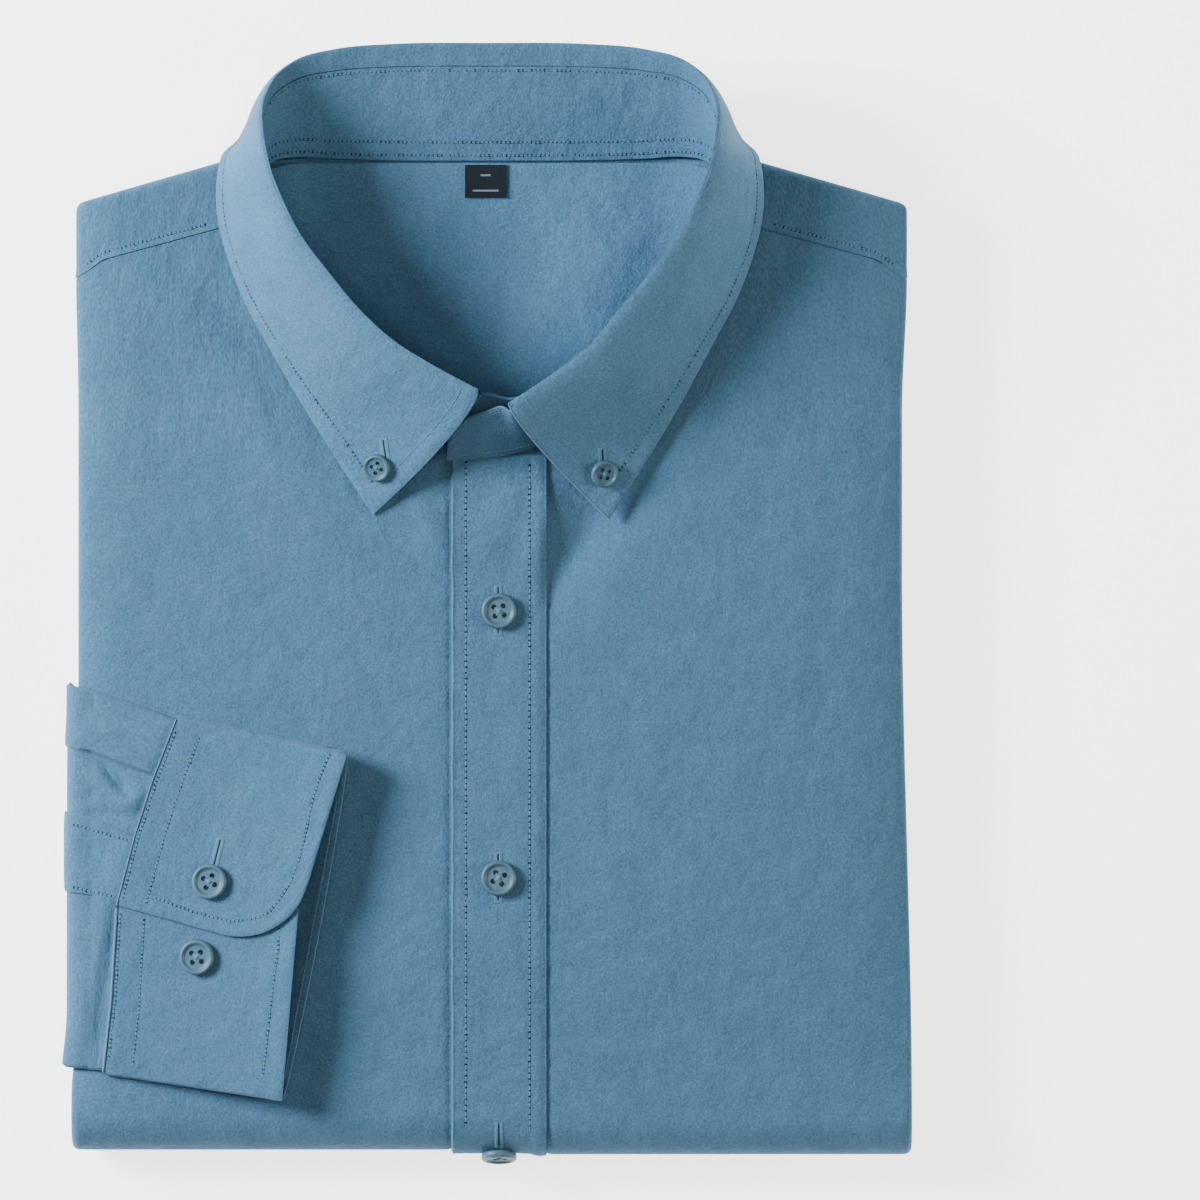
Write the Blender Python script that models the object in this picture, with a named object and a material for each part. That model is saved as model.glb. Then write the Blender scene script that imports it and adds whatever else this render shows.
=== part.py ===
"""A long-sleeved dress shirt, folded for a shelf and lying on its back.

The body is folded to a third of its width and then in half, so it is a thick ribbon that turns
under at the bottom. The front faces up, its placket runs round the bottom fold, and the
buttoned-down collar stands open. The wearer's right sleeve comes out of the fold at the side,
wraps round the edge and lays its buttoned cuff on the front.

Frame: X to the wearer's left, Y towards the collar, Z up. The origin is on the surface that the
shirt rests on, under the middle of the fold. Every length in this file is in millimetres, and
new_object() turns it into metres. "Right" and "left" in names are the wearer's: right is at -X.
"""

import math

import bmesh
import bpy
import numpy as np
from mathutils.bvhtree import BVHTree

MM = 0.001

# ---------------------------------------------------------------- cloth
CLOTH = 1.0  # one layer of the body or sleeve
STIFF = 1.2  # collar and cuff: two plies with interlining
GAP = 0.3  # between pieces that touch
UNDER = CLOTH + GAP  # from one face down to the face below it

# ---------------------------------------------------------------- folded body
HALF_WIDTH = 134.2  # from the middle to the side fold
# Each side widens towards the bottom fold: by how much, and between which two places along Y.
FLARE = {"right": (2.2, -132.0, -160.0), "left": (3.2, 10.0, -165.0)}
BOTTOM_Y = -178.0
BUNDLE = 4.6  # half the thickness of one half of the fold, and the radius of its side folds
SLEEVE_ROOM = 4.8  # between the two halves, where the sleeves lie
RETURN = 8.0  # how far each front runs back under its side fold
TAIL_Y = 121.0  # the middle of the fold that closes the lower half
PRESS = 4.0  # how square the side folds and end folds are pressed: 2 is round
CROWN = 2.2  # how much higher the middle of the front lies than its sides

TURN_R = BUNDLE + SLEEVE_ROOM / 2  # middle of the cloth bundle round the bottom fold
AXIS_Z = 2 * BUNDLE + SLEEVE_ROOM / 2
UPPER_Z = AXIS_Z + TURN_R
TURN_Y = BOTTOM_Y + TURN_R + BUNDLE
TURN_LENGTH = math.pi * TURN_R
FOLD_LENGTH = math.pi * BUNDLE
TAIL_P = TURN_Y - TURN_LENGTH - (TAIL_Y - TURN_Y)  # the tail fold's place along the path

# Soft folds in the front: middle, heading in degrees from +X, half length, half width, height.
RIDGES = (
    (-58.0, 30.0, -55.0, 42.0, 15.0, 0.9),
    (42.0, 8.0, 52.0, 38.0, 12.0, 0.8),
    (22.0, 22.0, 62.0, 26.0, 8.0, -0.7),
    (80.0, 58.0, 40.0, 40.0, 17.0, 0.7),
    (-98.0, 62.0, -62.0, 38.0, 14.0, -0.6),
    (78.0, -92.0, -12.0, 44.0, 20.0, 0.6),
    (-30.0, -118.0, 18.0, 40.0, 18.0, 0.5),
)

# ---------------------------------------------------------------- shoulders and yoke
SHOULDER_X, SHOULDER_Y = 89.0, 138.7  # a point of the fold over the shoulder
SHOULDER_SLOPE = 0.282
SHOULDER_TOP_Y = 142.4  # the fold runs level behind the neck
NECK_END_Y = 144.3  # the same fold where only the back is left, behind the neck
NECK_HALF = 58.0  # the fold starts to drop behind the neck at this distance from the middle
NECK_FADE = 16.0
NECK_DROP = 5.2
YOKE_SEAM_X, YOKE_SEAM_Y = 88.0, 122.2  # a point of the front yoke seam
YOKE_SEAM_SLOPE = 0.27
YOKE_SEAM_BEND_X, YOKE_SEAM_BEND = 126.0, 0.45  # the seam bends down towards the side fold
INNER_HALF_X, INNER_LOW_Y, INNER_HIGH_Y = 84.0, 36.0, 143.6  # the inside of the yoke
DISH = 4.8  # how far it lies below the front in the middle of the neck
DISH_X, DISH_FADE_X, DISH_FADE_Y = 52.0, 30.0, 45.0

# ---------------------------------------------------------------- placket and buttons
PLACKET_LEFT, PLACKET_RIGHT = -12.6, 18.3
PLACKET_TOP_Y = 48.7
PLACKET_END = math.radians(140.0)  # where it ends round the bottom fold
FRONTS_MEET_X = 14.65  # under the placket
BUTTON_X = 2.85
BUTTON_Y = (-2.3, -89.1)
BUTTON_TURN = math.radians(74.0)  # the third one lies on the bottom fold
BUTTON_R, BUTTON_THICK = 5.8, 2.4
SMALL_R, SMALL_THICK = 4.5, 2.0
BUTTON_SIDES = 20
HOLE_SIDES = 8

# ---------------------------------------------------------------- collar
# One row for each section of the collar, from the centre back to the front of one side: X, Y and Z
# of the foot of the band's inner face, of the top of the roll and of the leaf's edge, then how far
# the roll swells outwards and how far the section bows towards the front.
COLLAR_COLUMNS = {"foot": slice(0, 3), "roll": slice(3, 6), "edge": slice(6, 9), "swell": 9, "bow": 10}
COLLAR_HALF = (
    (0.0, 144.2, 18.5, 0.0, 180.2, 36.5, 0.0, 171.5, 1.8, 3.2, 0.0),
    (30.0, 144.3, 18.5, 30.0, 179.9, 37.0, 31.0, 171.0, 1.8, 3.2, 0.0),
    (50.0, 144.9, 18.9, 50.0, 178.3, 38.5, 52.0, 169.5, 1.8, 3.2, 0.0),
    (62.0, 145.6, 20.4, 63.0, 174.9, 40.5, 66.0, 167.5, 2.0, 3.2, 0.0),
    (69.5, 144.4, 22.6, 70.0, 169.8, 43.0, 73.6, 164.8, 3.4, 3.8, 0.0),
    (74.3, 140.6, 24.4, 73.2, 162.2, 45.5, 77.8, 159.7, 6.0, 5.4, 0.0),
    (77.0, 134.5, 24.6, 73.1, 152.6, 48.2, 82.3, 151.6, 12.0, 5.6, 0.0),
    (78.2, 128.0, 24.8, 71.7, 145.0, 50.6, 87.6, 146.0, 22.2, 5.8, 0.0),
    (78.4, 124.0, 25.0, 70.8, 141.2, 51.4, 88.8, 141.0, 26.2, 5.5, 0.0),
    (78.0, 119.0, 25.0, 69.4, 137.0, 52.0, 89.4, 134.8, 26.3, 6.0, 0.0),
    (76.0, 111.5, 25.2, 62.5, 122.0, 53.6, 88.2, 121.5, 26.2, 8.0, 0.0),
    (70.5, 100.0, 25.3, 50.8, 105.8, 54.2, 80.6, 99.0, 27.0, 9.0, 0.0),
    (61.5, 87.5, 25.4, 41.7, 95.0, 54.2, 72.5, 83.8, 27.6, 10.0, 0.0),
)
COLLAR_FRONT = {
    "right": (
        (48.0, 74.5, 25.5, 30.4, 84.8, 53.8, 62.3, 66.3, 27.9, 10.5, 0.4),
        (31.0, 62.8, 25.6, 16.8, 76.4, 53.0, 51.0, 48.6, 27.6, 11.0, 1.6),
        (16.0, 55.0, 25.7, 3.6, 69.4, 52.2, 38.2, 28.9, 27.0, 11.5, 3.4),
    ),
    "left": (
        (48.0, 74.5, 25.5, 31.4, 82.8, 53.8, 62.0, 64.5, 27.9, 10.5, 0.4),
        (31.0, 61.0, 25.7, 18.6, 73.2, 53.0, 52.0, 48.0, 27.6, 11.0, 1.2),
        (14.0, 51.6, 27.0, 6.2, 65.1, 51.8, 38.8, 27.4, 27.0, 11.5, 2.2),
    ),
}
BAND_SHARE = 0.8  # how far up from its foot to the roll the band reaches
LEAF_GAP = 0.55  # between the band's top and the leaf, measured along the seen face
# The band runs on past the leaf: X, Y and Z of the foot and of the top of each further section.
BAND_END_COLUMNS = {"foot": slice(0, 3), "top": slice(3, 6)}
BAND_END = {
    "left": (
        (6.0, 49.2, 27.1, 2.6, 62.9, 46.0),
        (-1.0, 48.4, 27.1, -4.0, 61.2, 44.4),
        (-7.0, 48.2, 27.1, -8.8, 58.5, 40.6),
        (-11.5, 48.2, 27.1, -12.3, 54.6, 35.4),
        (-14.0, 48.2, 27.1, -14.2, 50.4, 30.0),
    ),
    "right": (
        (-6.0, 53.6, 25.7, -1.5, 68.4, 45.2),
        (4.0, 53.2, 25.7, 6.0, 66.9, 44.2),
        (11.5, 54.2, 25.7, 12.0, 67.6, 43.0),
    ),
}
COLLAR_BUTTON = {"right": (-36.4, 44.5), "left": (36.9, 42.6)}

# ---------------------------------------------------------------- sleeve, placket and cuff
SLEEVE_THICK = 2.4  # both layers, pressed flat
PLEAT_AT, PLEAT_STEP = 0.16, 0.8  # share of the way down the sleeve, and its height
GAUNTLET_FROM, GAUNTLET_TO = 0.335, 0.54  # the sleeve placket, as shares of the way down
# The cuff's strip, as X and Y at the seam and at the mouth, on its four turning lines.
CUFF_OVERLAP_END = (-121.5, -97.8, -65.7, -113.1)
CUFF_TOP_FOLD = (-102.0, -37.4, -46.5, -49.7)
CUFF_BOTTOM_FOLD = (-125.8, -151.8, -67.3, -160.2)
CUFF_UNDERLAP_END = (-115.0, -77.0, -60.8, -84.8)
CUFF_ROUND = 22.0  # radius of the overlap's corner
CUFF_LIFT, CUFF_LOW_LIFT = 8.6, 1.4  # how far the upper and the lower layers rise at the mouth
CUFF_BUTTON = ((-90.8, -90.2), (-94.9, -114.7))

LABEL_LEFT, LABEL_RIGHT = -8.2, 5.2
LABEL_TOP_Y, LABEL_BOTTOM_Y = 143.0, 132.3

# ---------------------------------------------------------------- shared stations
SIDE_ANGLES = np.radians((0, 30, 45, 60, 90, 120, 135, 150, 180))  # round a side fold
TURN_ANGLES = np.radians((0, 20, 45, 70, 90, 115, 140, 160, 180))  # round the bottom fold
END_ANGLES = SIDE_ANGLES  # over the shoulder
QUARTER = len(SIDE_ANGLES) // 2  # steps from the flat to the outermost point of a fold
FRONT_Y = (20.0, -5.0, -30.0, -60.0, -90.0, -120.0, -145.0)  # across the front
LOWER_Y = (-120.0, 0.0, 95.0)  # across the underside
PANEL_X = (30.0, 46.0, 60.0, 70.0, 76.6, 92.0, 108.0, 120.0)
# The top edge of each front: round the neck, then along the yoke seam.
NECKLINE_X = (0.0, 14.65, 30.0, 46.0, 60.0, 70.0, 76.6)
NECKLINE_Y = (52.0, 54.0, 61.5, 72.5, 86.0, 99.0, 124.8)
# The edge of the outer yoke round the back of the neck, as a place past the shoulder fold.
YOKE_NECK_X = (0.0, 56.0, 62.0, 69.5, 74.3, 77.0, 79.4)
YOKE_NECK_PAST = (5.2, 5.2, 5.0, 4.6, 1.4, -2.2, -40.0)


# ---------------------------------------------------------------- small helpers
def smooth(t):
    """0 below 0, 1 above 1, and level at both ends."""
    t = np.clip(t, 0.0, 1.0)
    return t * t * (3.0 - 2.0 * t)


def mix(a, b, t):
    return a + (b - a) * t


def unit(v):
    return v / np.linalg.norm(v, axis=-1, keepdims=True)


def points(x, y, z):
    return np.stack(np.broadcast_arrays(x, y, z), axis=-1).astype(float)


# ---------------------------------------------------------------- the folded body's outer face
def half_width(x, y):
    """Distance from the middle to the side fold on the side where x lies."""
    right = FLARE["right"][0] * smooth((FLARE["right"][1] - y) / (FLARE["right"][1] - FLARE["right"][2]))
    left = FLARE["left"][0] * smooth((FLARE["left"][1] - y) / (FLARE["left"][1] - FLARE["left"][2]))
    return HALF_WIDTH + np.where(np.asarray(x) < 0.0, right, left)


def in_neck(x):
    """1 behind the neck, 0 over the shoulders."""
    return 1.0 - smooth((np.abs(x) - NECK_HALF) / NECK_FADE)


def shoulder_y(x):
    """Where the fold over the shoulder has its middle."""
    sloped = SHOULDER_Y + SHOULDER_SLOPE * (SHOULDER_X - np.abs(x))
    return mix(np.minimum(sloped, SHOULDER_TOP_Y), NECK_END_Y, in_neck(x))


def yoke_seam_y(x):
    bend = YOKE_SEAM_BEND * np.maximum(np.abs(x) - YOKE_SEAM_BEND_X, 0.0)
    return YOKE_SEAM_Y - YOKE_SEAM_SLOPE * (np.abs(x) - YOKE_SEAM_X) - bend


def rise(x, y):
    """How much higher the front lies here than a flat one would."""
    across = 1.0 - np.minimum(np.abs(x) / half_width(x, y), 1.0) ** 2
    along = smooth((y - TURN_Y) / 60.0)
    height = CROWN * across * (1.0 - 0.55 * smooth((y - 70.0) / 60.0))
    for middle_x, middle_y, heading, half_length, half_wide, high in RIDGES:
        c, s = math.cos(math.radians(heading)), math.sin(math.radians(heading))
        lengthwise = ((x - middle_x) * c + (y - middle_y) * s) / half_length
        sideways = ((y - middle_y) * c - (x - middle_x) * s) / half_wide
        height = height + high * np.exp(-(lengthwise**2) - sideways**2) * smooth(across * 3.0)
    return height * along


def plan_x(side):
    """X of a point of the section, near enough to look heights up with."""
    flat = HALF_WIDTH - BUNDLE
    away = np.abs(side)
    return np.sign(side) * np.clip(np.minimum(away, 2 * flat + FOLD_LENGTH - away), 0.0, HALF_WIDTH)


def no_drop(x, p):
    return 0.0


def neck_drop(x, p):
    """How much lower the yoke folds over behind the neck than over the shoulders."""
    return NECK_DROP * in_neck(x)


def pressed(angle):
    """Sine and cosine round a fold, as on a circle that is pressed towards a square."""
    s, c = np.sin(angle), np.cos(angle)
    grow = (np.abs(s) ** PRESS + np.abs(c) ** PRESS) ** (-1.0 / PRESS)
    return s * grow, c * grow


def body_point(side, p, lift, drop=no_drop, closing=False):
    """Points of the body's outer face, lifted off it by lift.

    side runs along the section from the middle, round the side fold and back underneath. p runs
    along the ribbon: it is Y on the front, more than that over the shoulder, and less round the
    bottom fold and along the underside. drop says how much lower the upper face lies. closing
    brings both faces together at the ends of the ribbon, as a solid needs.
    """
    side, p, lift = np.broadcast_arrays(np.asarray(side, float), np.asarray(p, float), lift)
    over = plan_x(side)
    end = shoulder_y(over)
    past = np.maximum(p - end, 0.0)
    turned = np.clip(TURN_Y - p, 0.0, TURN_LENGTH) / TURN_R
    below = np.clip(TURN_Y - TURN_LENGTH - p, 0.0, TAIL_Y - TURN_Y)
    past_tail = np.clip(TAIL_P - p, 0.0, FOLD_LENGTH)
    y = np.minimum(np.maximum(p, TURN_Y), end) - TURN_R * np.sin(turned) + below
    y = y - np.maximum(past - FOLD_LENGTH, 0.0)
    z = AXIS_Z + TURN_R * np.cos(turned)
    end_turn = (np.clip(past, 0.0, FOLD_LENGTH) + past_tail) / BUNDLE
    in_turn = (turned > 0.0) & (turned < math.pi)
    end_reach, end_up = pressed(end_turn)
    reach = np.where(in_turn, -np.sin(turned), end_reach)
    up = np.where(in_turn, np.cos(turned), end_up * np.where(turned > 0.0, -1.0, 1.0))

    flat = half_width(side, y) - BUNDLE
    angle = np.clip((np.abs(side) - flat) / BUNDLE, 0.0, math.pi)
    back = np.maximum(np.abs(side) - flat - FOLD_LENGTH, 0.0)
    out, section_up = pressed(angle)
    x = np.minimum(np.abs(side), flat) + (BUNDLE + lift) * out - back
    more = (rise(over, np.minimum(p, end)) - drop(over, p)) * (turned <= 0.0)
    n = (BUNDLE + more / 2 + lift) * section_up
    outward = np.where(in_turn, n, np.abs(n)) if closing else n
    y = y + outward * reach
    return points(np.sign(side) * x, y, z + more / 2 + n * up)


def front_z(x, y):
    """Height of the front's outer face over a point of the plan."""
    over = np.clip(np.abs(x) - (half_width(x, y) - BUNDLE), 0.0, BUNDLE)
    more = rise(x, y)
    half = BUNDLE + more / 2
    return UPPER_Z + more / 2 + half * (1.0 - (over / BUNDLE) ** PRESS) ** (1.0 / PRESS)


def inner_fade(x, y):
    """1 where the inside of the yoke lies at its deepest, 0 where it lies close under a front."""
    return (1.0 - smooth((np.abs(x) - DISH_X) / DISH_FADE_X)) * smooth((y - INNER_LOW_Y) / DISH_FADE_Y)


def inner_yoke_z(x, y):
    """Height of the inside of the yoke, which shows through the neck."""
    return front_z(x, np.minimum(y, shoulder_y(x))) - UNDER - DISH * inner_fade(x, y)


def core_drop(x, p):
    """How much deeper the hidden layers lie under the inside of the yoke than under a front."""
    across = 1.0 - smooth((np.abs(x) - INNER_HALF_X - 1.0) / 7.0)
    along = smooth((p - INNER_LOW_Y + 13.0) / 12.0)
    return (UNDER + DISH * inner_fade(x, p)) * across * along


# ---------------------------------------------------------------- meshes
def new_object(name, vertices, faces, material):
    mesh = bpy.data.meshes.new(name)
    mesh.from_pydata([tuple(v * MM) for v in vertices], [], faces)
    work = bmesh.new()
    work.from_mesh(mesh)
    bmesh.ops.remove_doubles(work, verts=work.verts, dist=0.002 * MM)
    bmesh.ops.recalc_face_normals(work, faces=work.faces)
    bmesh.ops.triangulate(work, faces=work.faces, quad_method="SHORT_EDGE")
    work.to_mesh(mesh)
    work.free()
    mesh.materials.append(material)
    mesh.shade_smooth()
    mesh.set_sharp_from_angle(angle=math.radians(50.0))
    thing = bpy.data.objects.new(name, mesh)
    bpy.context.scene.collection.objects.link(thing)
    return thing


def wall(name, outer, inner, material, keep=None):
    """A closed solid between two grids of points, rows by columns. keep says which cells it has."""
    rows, columns = outer.shape[:2]
    keep = np.ones((rows - 1, columns - 1), bool) if keep is None else keep
    number = np.arange(rows * columns).reshape(rows, columns)
    below = rows * columns
    faces = []
    for i, j in zip(*np.nonzero(keep)):
        a, b, c, d = number[i, j], number[i, j + 1], number[i + 1, j + 1], number[i + 1, j]
        faces += [(a, b, c, d), (d + below, c + below, b + below, a + below)]
        neighbours = ((i - 1, j, b, a), (i + 1, j, d, c), (i, j - 1, a, d), (i, j + 1, c, b))
        for ni, nj, first, second in neighbours:
            if 0 <= ni < rows - 1 and 0 <= nj < columns - 1 and keep[ni, nj]:
                continue
            faces.append((first, second, second + below, first + below))
    used = sorted({int(v) for face in faces for v in face})
    place = {v: k for k, v in enumerate(used)}
    vertices = np.concatenate([outer.reshape(-1, 3), inner.reshape(-1, 3)])[used]
    faces = [tuple(place[int(v)] for v in face) for face in faces]
    return new_object(name, vertices, faces, material)


def tube(name, outer, inner, material):
    """A closed solid between two nested tubes of points: stations by points round the section."""
    stations, around = outer.shape[:2]
    number = np.arange(stations * around).reshape(stations, around)
    below = stations * around
    faces = []
    for j in range(around):
        k = (j + 1) % around
        for i in range(stations - 1):
            a, b, c, d = number[i, j], number[i, k], number[i + 1, k], number[i + 1, j]
            faces += [(a, b, c, d), (d + below, c + below, b + below, a + below)]
        for end in (0, stations - 1):
            a, b = number[end, j], number[end, k]
            faces.append((a, b, b + below, a + below))
    vertices = np.concatenate([outer.reshape(-1, 3), inner.reshape(-1, 3)])
    return new_object(name, vertices, [tuple(int(v) for v in face) for face in faces], material)


def normals(grid):
    """Unit normals of a grid of points, from its neighbours."""
    down = np.gradient(grid, axis=0)
    across = np.gradient(grid, axis=1)
    return unit(np.cross(across, down))


# ---------------------------------------------------------------- hidden layers
INNER_X = (0.0, FRONTS_MEET_X, 30.0, 46.0, 60.0, 70.0, INNER_HALF_X)  # across the inside of the yoke
INNER_Y = (INNER_LOW_Y, 47.0, 60.0, 78.0, 98.0)  # along it
CORE_TOP_X = (*INNER_X, 94.0, 108.0, 120.0)
CORE_UNDER_X = (100.0, 50.0, 0.0)
CORE_SLOT = RETURN + 0.3  # the fronts' returns lie in a slot this deep
CORE_STEP = RETURN + 0.5  # the sleeve layers stop this far from the ends of the ribbon
SLEEVE_EDGE = {"right": 10.0, "left": 0.5}  # from the side fold to the folded sleeve's edge


def lower_p(y):
    """The place along the ribbon of a point of the underside."""
    return TURN_Y - TURN_LENGTH - (y - TURN_Y)


def core_half(flat, sleeves, edge):
    """Half a section of the hidden layers: places along the section, and lifts."""
    under = flat + FOLD_LENGTH
    low = SLEEVE_ROOM / 2 - GAP if sleeves else -UNDER
    high = GAP if sleeves else -UNDER
    side = [*CORE_TOP_X, *(flat + SIDE_ANGLES * BUNDLE), under + CORE_SLOT]
    lift = [-UNDER] * len(side)
    side += [under + CORE_SLOT + 0.02, under + edge, under + edge]
    lift += [high, high, low]
    side += [under + flat - x for x in CORE_UNDER_X]
    lift += [low] * len(CORE_UNDER_X)
    return np.array(side), np.array(lift)


def core_ring(kind, value, sleeves, spread):
    """One closed section. spread is how far out the folded sleeves reach, from 0 to 1."""
    y = value if kind == "front" else TURN_Y if kind == "turn" else value if kind == "lower" else TAIL_Y
    halves = []
    for name, sign in (("left", 1.0), ("right", -1.0)):
        flat = float(half_width(sign, y)) - BUNDLE
        edge = mix(CORE_SLOT + 0.3, SLEEVE_EDGE[name], spread)
        if name == "right":
            edge = SLEEVE_EDGE[name]
        side, lift = core_half(flat, sleeves, edge if sleeves else CORE_SLOT + 0.06)
        halves.append((sign * side, lift))
    (side, lift), (other, other_lift) = halves
    side = np.concatenate([side, other[-2:0:-1]])
    lift = np.concatenate([lift, other_lift[-2:0:-1]])
    p = {
        "front": value, "shoulder": shoulder_y(plan_x(side)) + value,
        "turn": TURN_Y - TURN_R * value, "lower": lower_p(value), "tail": TAIL_P - value,
    }[kind]
    return body_point(side, p, lift, drop=core_drop, closing=True)


def folded_layers(material):
    """The hidden layers of the body: a thick ribbon with rounded sides and the sleeves inside it."""
    ends = BUNDLE * END_ANGLES[:QUARTER]
    rings = [("shoulder", past, 0, 0) for past in ends[::-1]]
    rings += [("shoulder", -CORE_STEP + 0.1, 0, 0), ("shoulder", -CORE_STEP, 1, 0)]
    rings += [("shoulder", -18.0, 1, 1)]
    rings += [("front", y, 1, 1) for y in (*INNER_Y[::-1], *FRONT_Y)]
    rings += [("turn", angle, 1, 1) for angle in TURN_ANGLES]
    rings += [("lower", y, 1, 1) for y in LOWER_Y]
    rings += [("lower", TAIL_Y - CORE_STEP, 1, 0), ("lower", TAIL_Y - CORE_STEP + 0.1, 0, 0)]
    rings += [("tail", past, 0, 0) for past in ends]
    loops = np.array([core_ring(*ring) for ring in rings])
    count, around = loops.shape[:2]
    faces = [tuple(range(around)), tuple(range((count - 1) * around, count * around))]
    for i in range(count - 1):
        for j in range(around):
            k = (j + 1) % around
            faces.append((i * around + j, i * around + k, (i + 1) * around + k, (i + 1) * around + j))
    return new_object("folded_layers", loops.reshape(-1, 3), faces, material)


# ---------------------------------------------------------------- fronts and yoke
def neckline_y(x):
    """The top edge of a front."""
    seam = yoke_seam_y(x) - GAP / 2
    return np.where(np.abs(x) <= NECKLINE_X[-1], np.interp(np.abs(x), NECKLINE_X, NECKLINE_Y), seam)


def front_panel(name, sign, columns, material):
    """One front: from the yoke seam down, round the bottom fold, and back along the underside."""
    flat = HALF_WIDTH - BUNDLE
    spread = np.array([*columns, flat, *(flat + SIDE_ANGLES[1:] * BUNDLE), flat + FOLD_LENGTH + RETURN])
    rows, below_fold = [], []
    top = neckline_y(np.minimum(spread, HALF_WIDTH))
    for share in (1.0, 0.7, 0.4, 0.15):
        rows.append(mix(PLACKET_TOP_Y, top, share))
    places = [PLACKET_TOP_Y, *FRONT_Y, *(TURN_Y - TURN_ANGLES * TURN_R)]
    places += [lower_p(y) for y in LOWER_Y]
    places += [TAIL_P + 0.6, *(TAIL_P - END_ANGLES[: QUARTER + 1] * BUNDLE)]
    rows += [np.full(spread.shape, p) for p in places]
    p = np.array(rows)
    y = np.where(p > TURN_Y, p, np.clip(TURN_Y + TURN_Y - TURN_LENGTH - p, TURN_Y, TAIL_Y))
    widen = half_width(sign, y) - HALF_WIDTH
    side = sign * (spread + widen * (spread >= flat))
    keep = np.ones((len(rows) - 1, len(spread) - 1), bool)
    keep[-QUARTER - 1 :, len(columns) + QUARTER :] = False
    outer = body_point(side, p, 0.0)
    inner = body_point(side, p, -CLOTH)
    return wall(name, outer, inner, material, keep)


def yoke_outer(material):
    """The yoke: over both shoulders and round behind the neck."""
    flat = HALF_WIDTH - BUNDLE
    half = [14.0, 30.0, 44.0, 56.0, 62.0, 69.5, 74.3, 77.0, 79.4, 92.0, 108.0, flat - RETURN - 0.6]
    half += [flat, *(flat + SIDE_ANGLES[1:] * BUNDLE), flat + FOLD_LENGTH + RETURN]
    side = np.array([*[-s for s in half[::-1]], 0.0, *half])
    x = plan_x(side)
    end = shoulder_y(x)
    start = np.maximum(end + np.interp(np.abs(x), YOKE_NECK_X, YOKE_NECK_PAST), yoke_seam_y(x) + GAP / 2)
    rows = [yoke_seam_y(x) + GAP / 2, mix(yoke_seam_y(x), end, 0.5), end - 0.6, end]
    rows += [end + angle * BUNDLE for angle in END_ANGLES[1:]]
    rows += [end + FOLD_LENGTH + RETURN]
    p = np.array([np.maximum(row, start + 0.1 * k) for k, row in enumerate(rows)])
    keep = np.ones((len(rows) - 1, len(side) - 1), bool)
    poles = QUARTER + 1
    keep[2:, :poles] = False
    keep[2:, -poles:] = False
    keep[-1, : len(SIDE_ANGLES) + 1] = False
    keep[-1, -len(SIDE_ANGLES) - 1 :] = False
    outer = body_point(side, p, 0.0, drop=neck_drop)
    inner = body_point(side, p, -CLOTH, drop=neck_drop)
    return wall("yoke_outer", outer, inner, material, keep)


def yoke_inner(material):
    """The inside of the yoke, lying in the neck and on under both fronts."""
    x = np.array([*[-s for s in INNER_X[:0:-1]], *INNER_X])
    high = mix(np.minimum(shoulder_y(x) - 1.0, INNER_HIGH_Y), INNER_HIGH_Y, in_neck(x))
    rows = [np.full(x.shape, y) for y in INNER_Y]
    y = np.array([*rows, shoulder_y(x) - 18.0, shoulder_y(x) - CORE_STEP, high])
    x = np.broadcast_to(x, y.shape)
    z = inner_yoke_z(x, y)
    return wall("yoke_inner", points(x, y, z), points(x, y, z - CLOTH), material)


def label(material):
    """A bare woven label, inside the neck."""
    x, y = np.meshgrid((LABEL_LEFT, LABEL_RIGHT), (LABEL_BOTTOM_Y, LABEL_TOP_Y))
    z = inner_yoke_z(x, y) + GAP
    return wall("neck_label", points(x, y, z + CLOTH), points(x, y, z), material)


def front_placket(material):
    """The strip down the middle of the front. It follows the fronts round the bottom fold."""
    side = np.array((PLACKET_LEFT, 0.0, FRONTS_MEET_X, PLACKET_RIGHT))
    places = [PLACKET_TOP_Y - 0.3, *FRONT_Y]
    places += [TURN_Y - angle * TURN_R for angle in TURN_ANGLES if angle <= PLACKET_END + 0.01]
    p = np.broadcast_to(np.array(places)[:, None], (len(places), len(side)))
    outer = body_point(side, p, GAP + CLOTH)
    return wall("front_placket", outer, body_point(side, p, GAP), material)


# ---------------------------------------------------------------- collar
NECK_MIDDLE = np.array((0.0, 112.0, 35.0))
BAND_SHARES = (0.0, 0.33, 0.67, 1.0)
LEAF_SHARES = (0.1, 0.24, 0.42, 0.62, 0.82, 1.0)


def collar_rows():
    """Every section of the collar, from the front on the wearer's right round to the left."""
    mirror = np.array((-1, 1, 1, -1, 1, 1, -1, 1, 1, 1, 1))
    right = np.array((*COLLAR_HALF, *COLLAR_FRONT["right"])) * mirror
    left = np.array((*COLLAR_HALF[1:], *COLLAR_FRONT["left"]))
    rows = np.concatenate([right[::-1], left])
    return {name: rows[:, columns] for name, columns in COLLAR_COLUMNS.items()}


def away_from_neck(seen):
    """Normals of a face that is seen from inside the neck, pointing away from there."""
    away = normals(seen)
    return away * np.sign(np.sum(away[0] * (seen[0] - NECK_MIDDLE)))


def band_grid(foot, top):
    return np.array([mix(foot, top, share) for share in BAND_SHARES])


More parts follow.
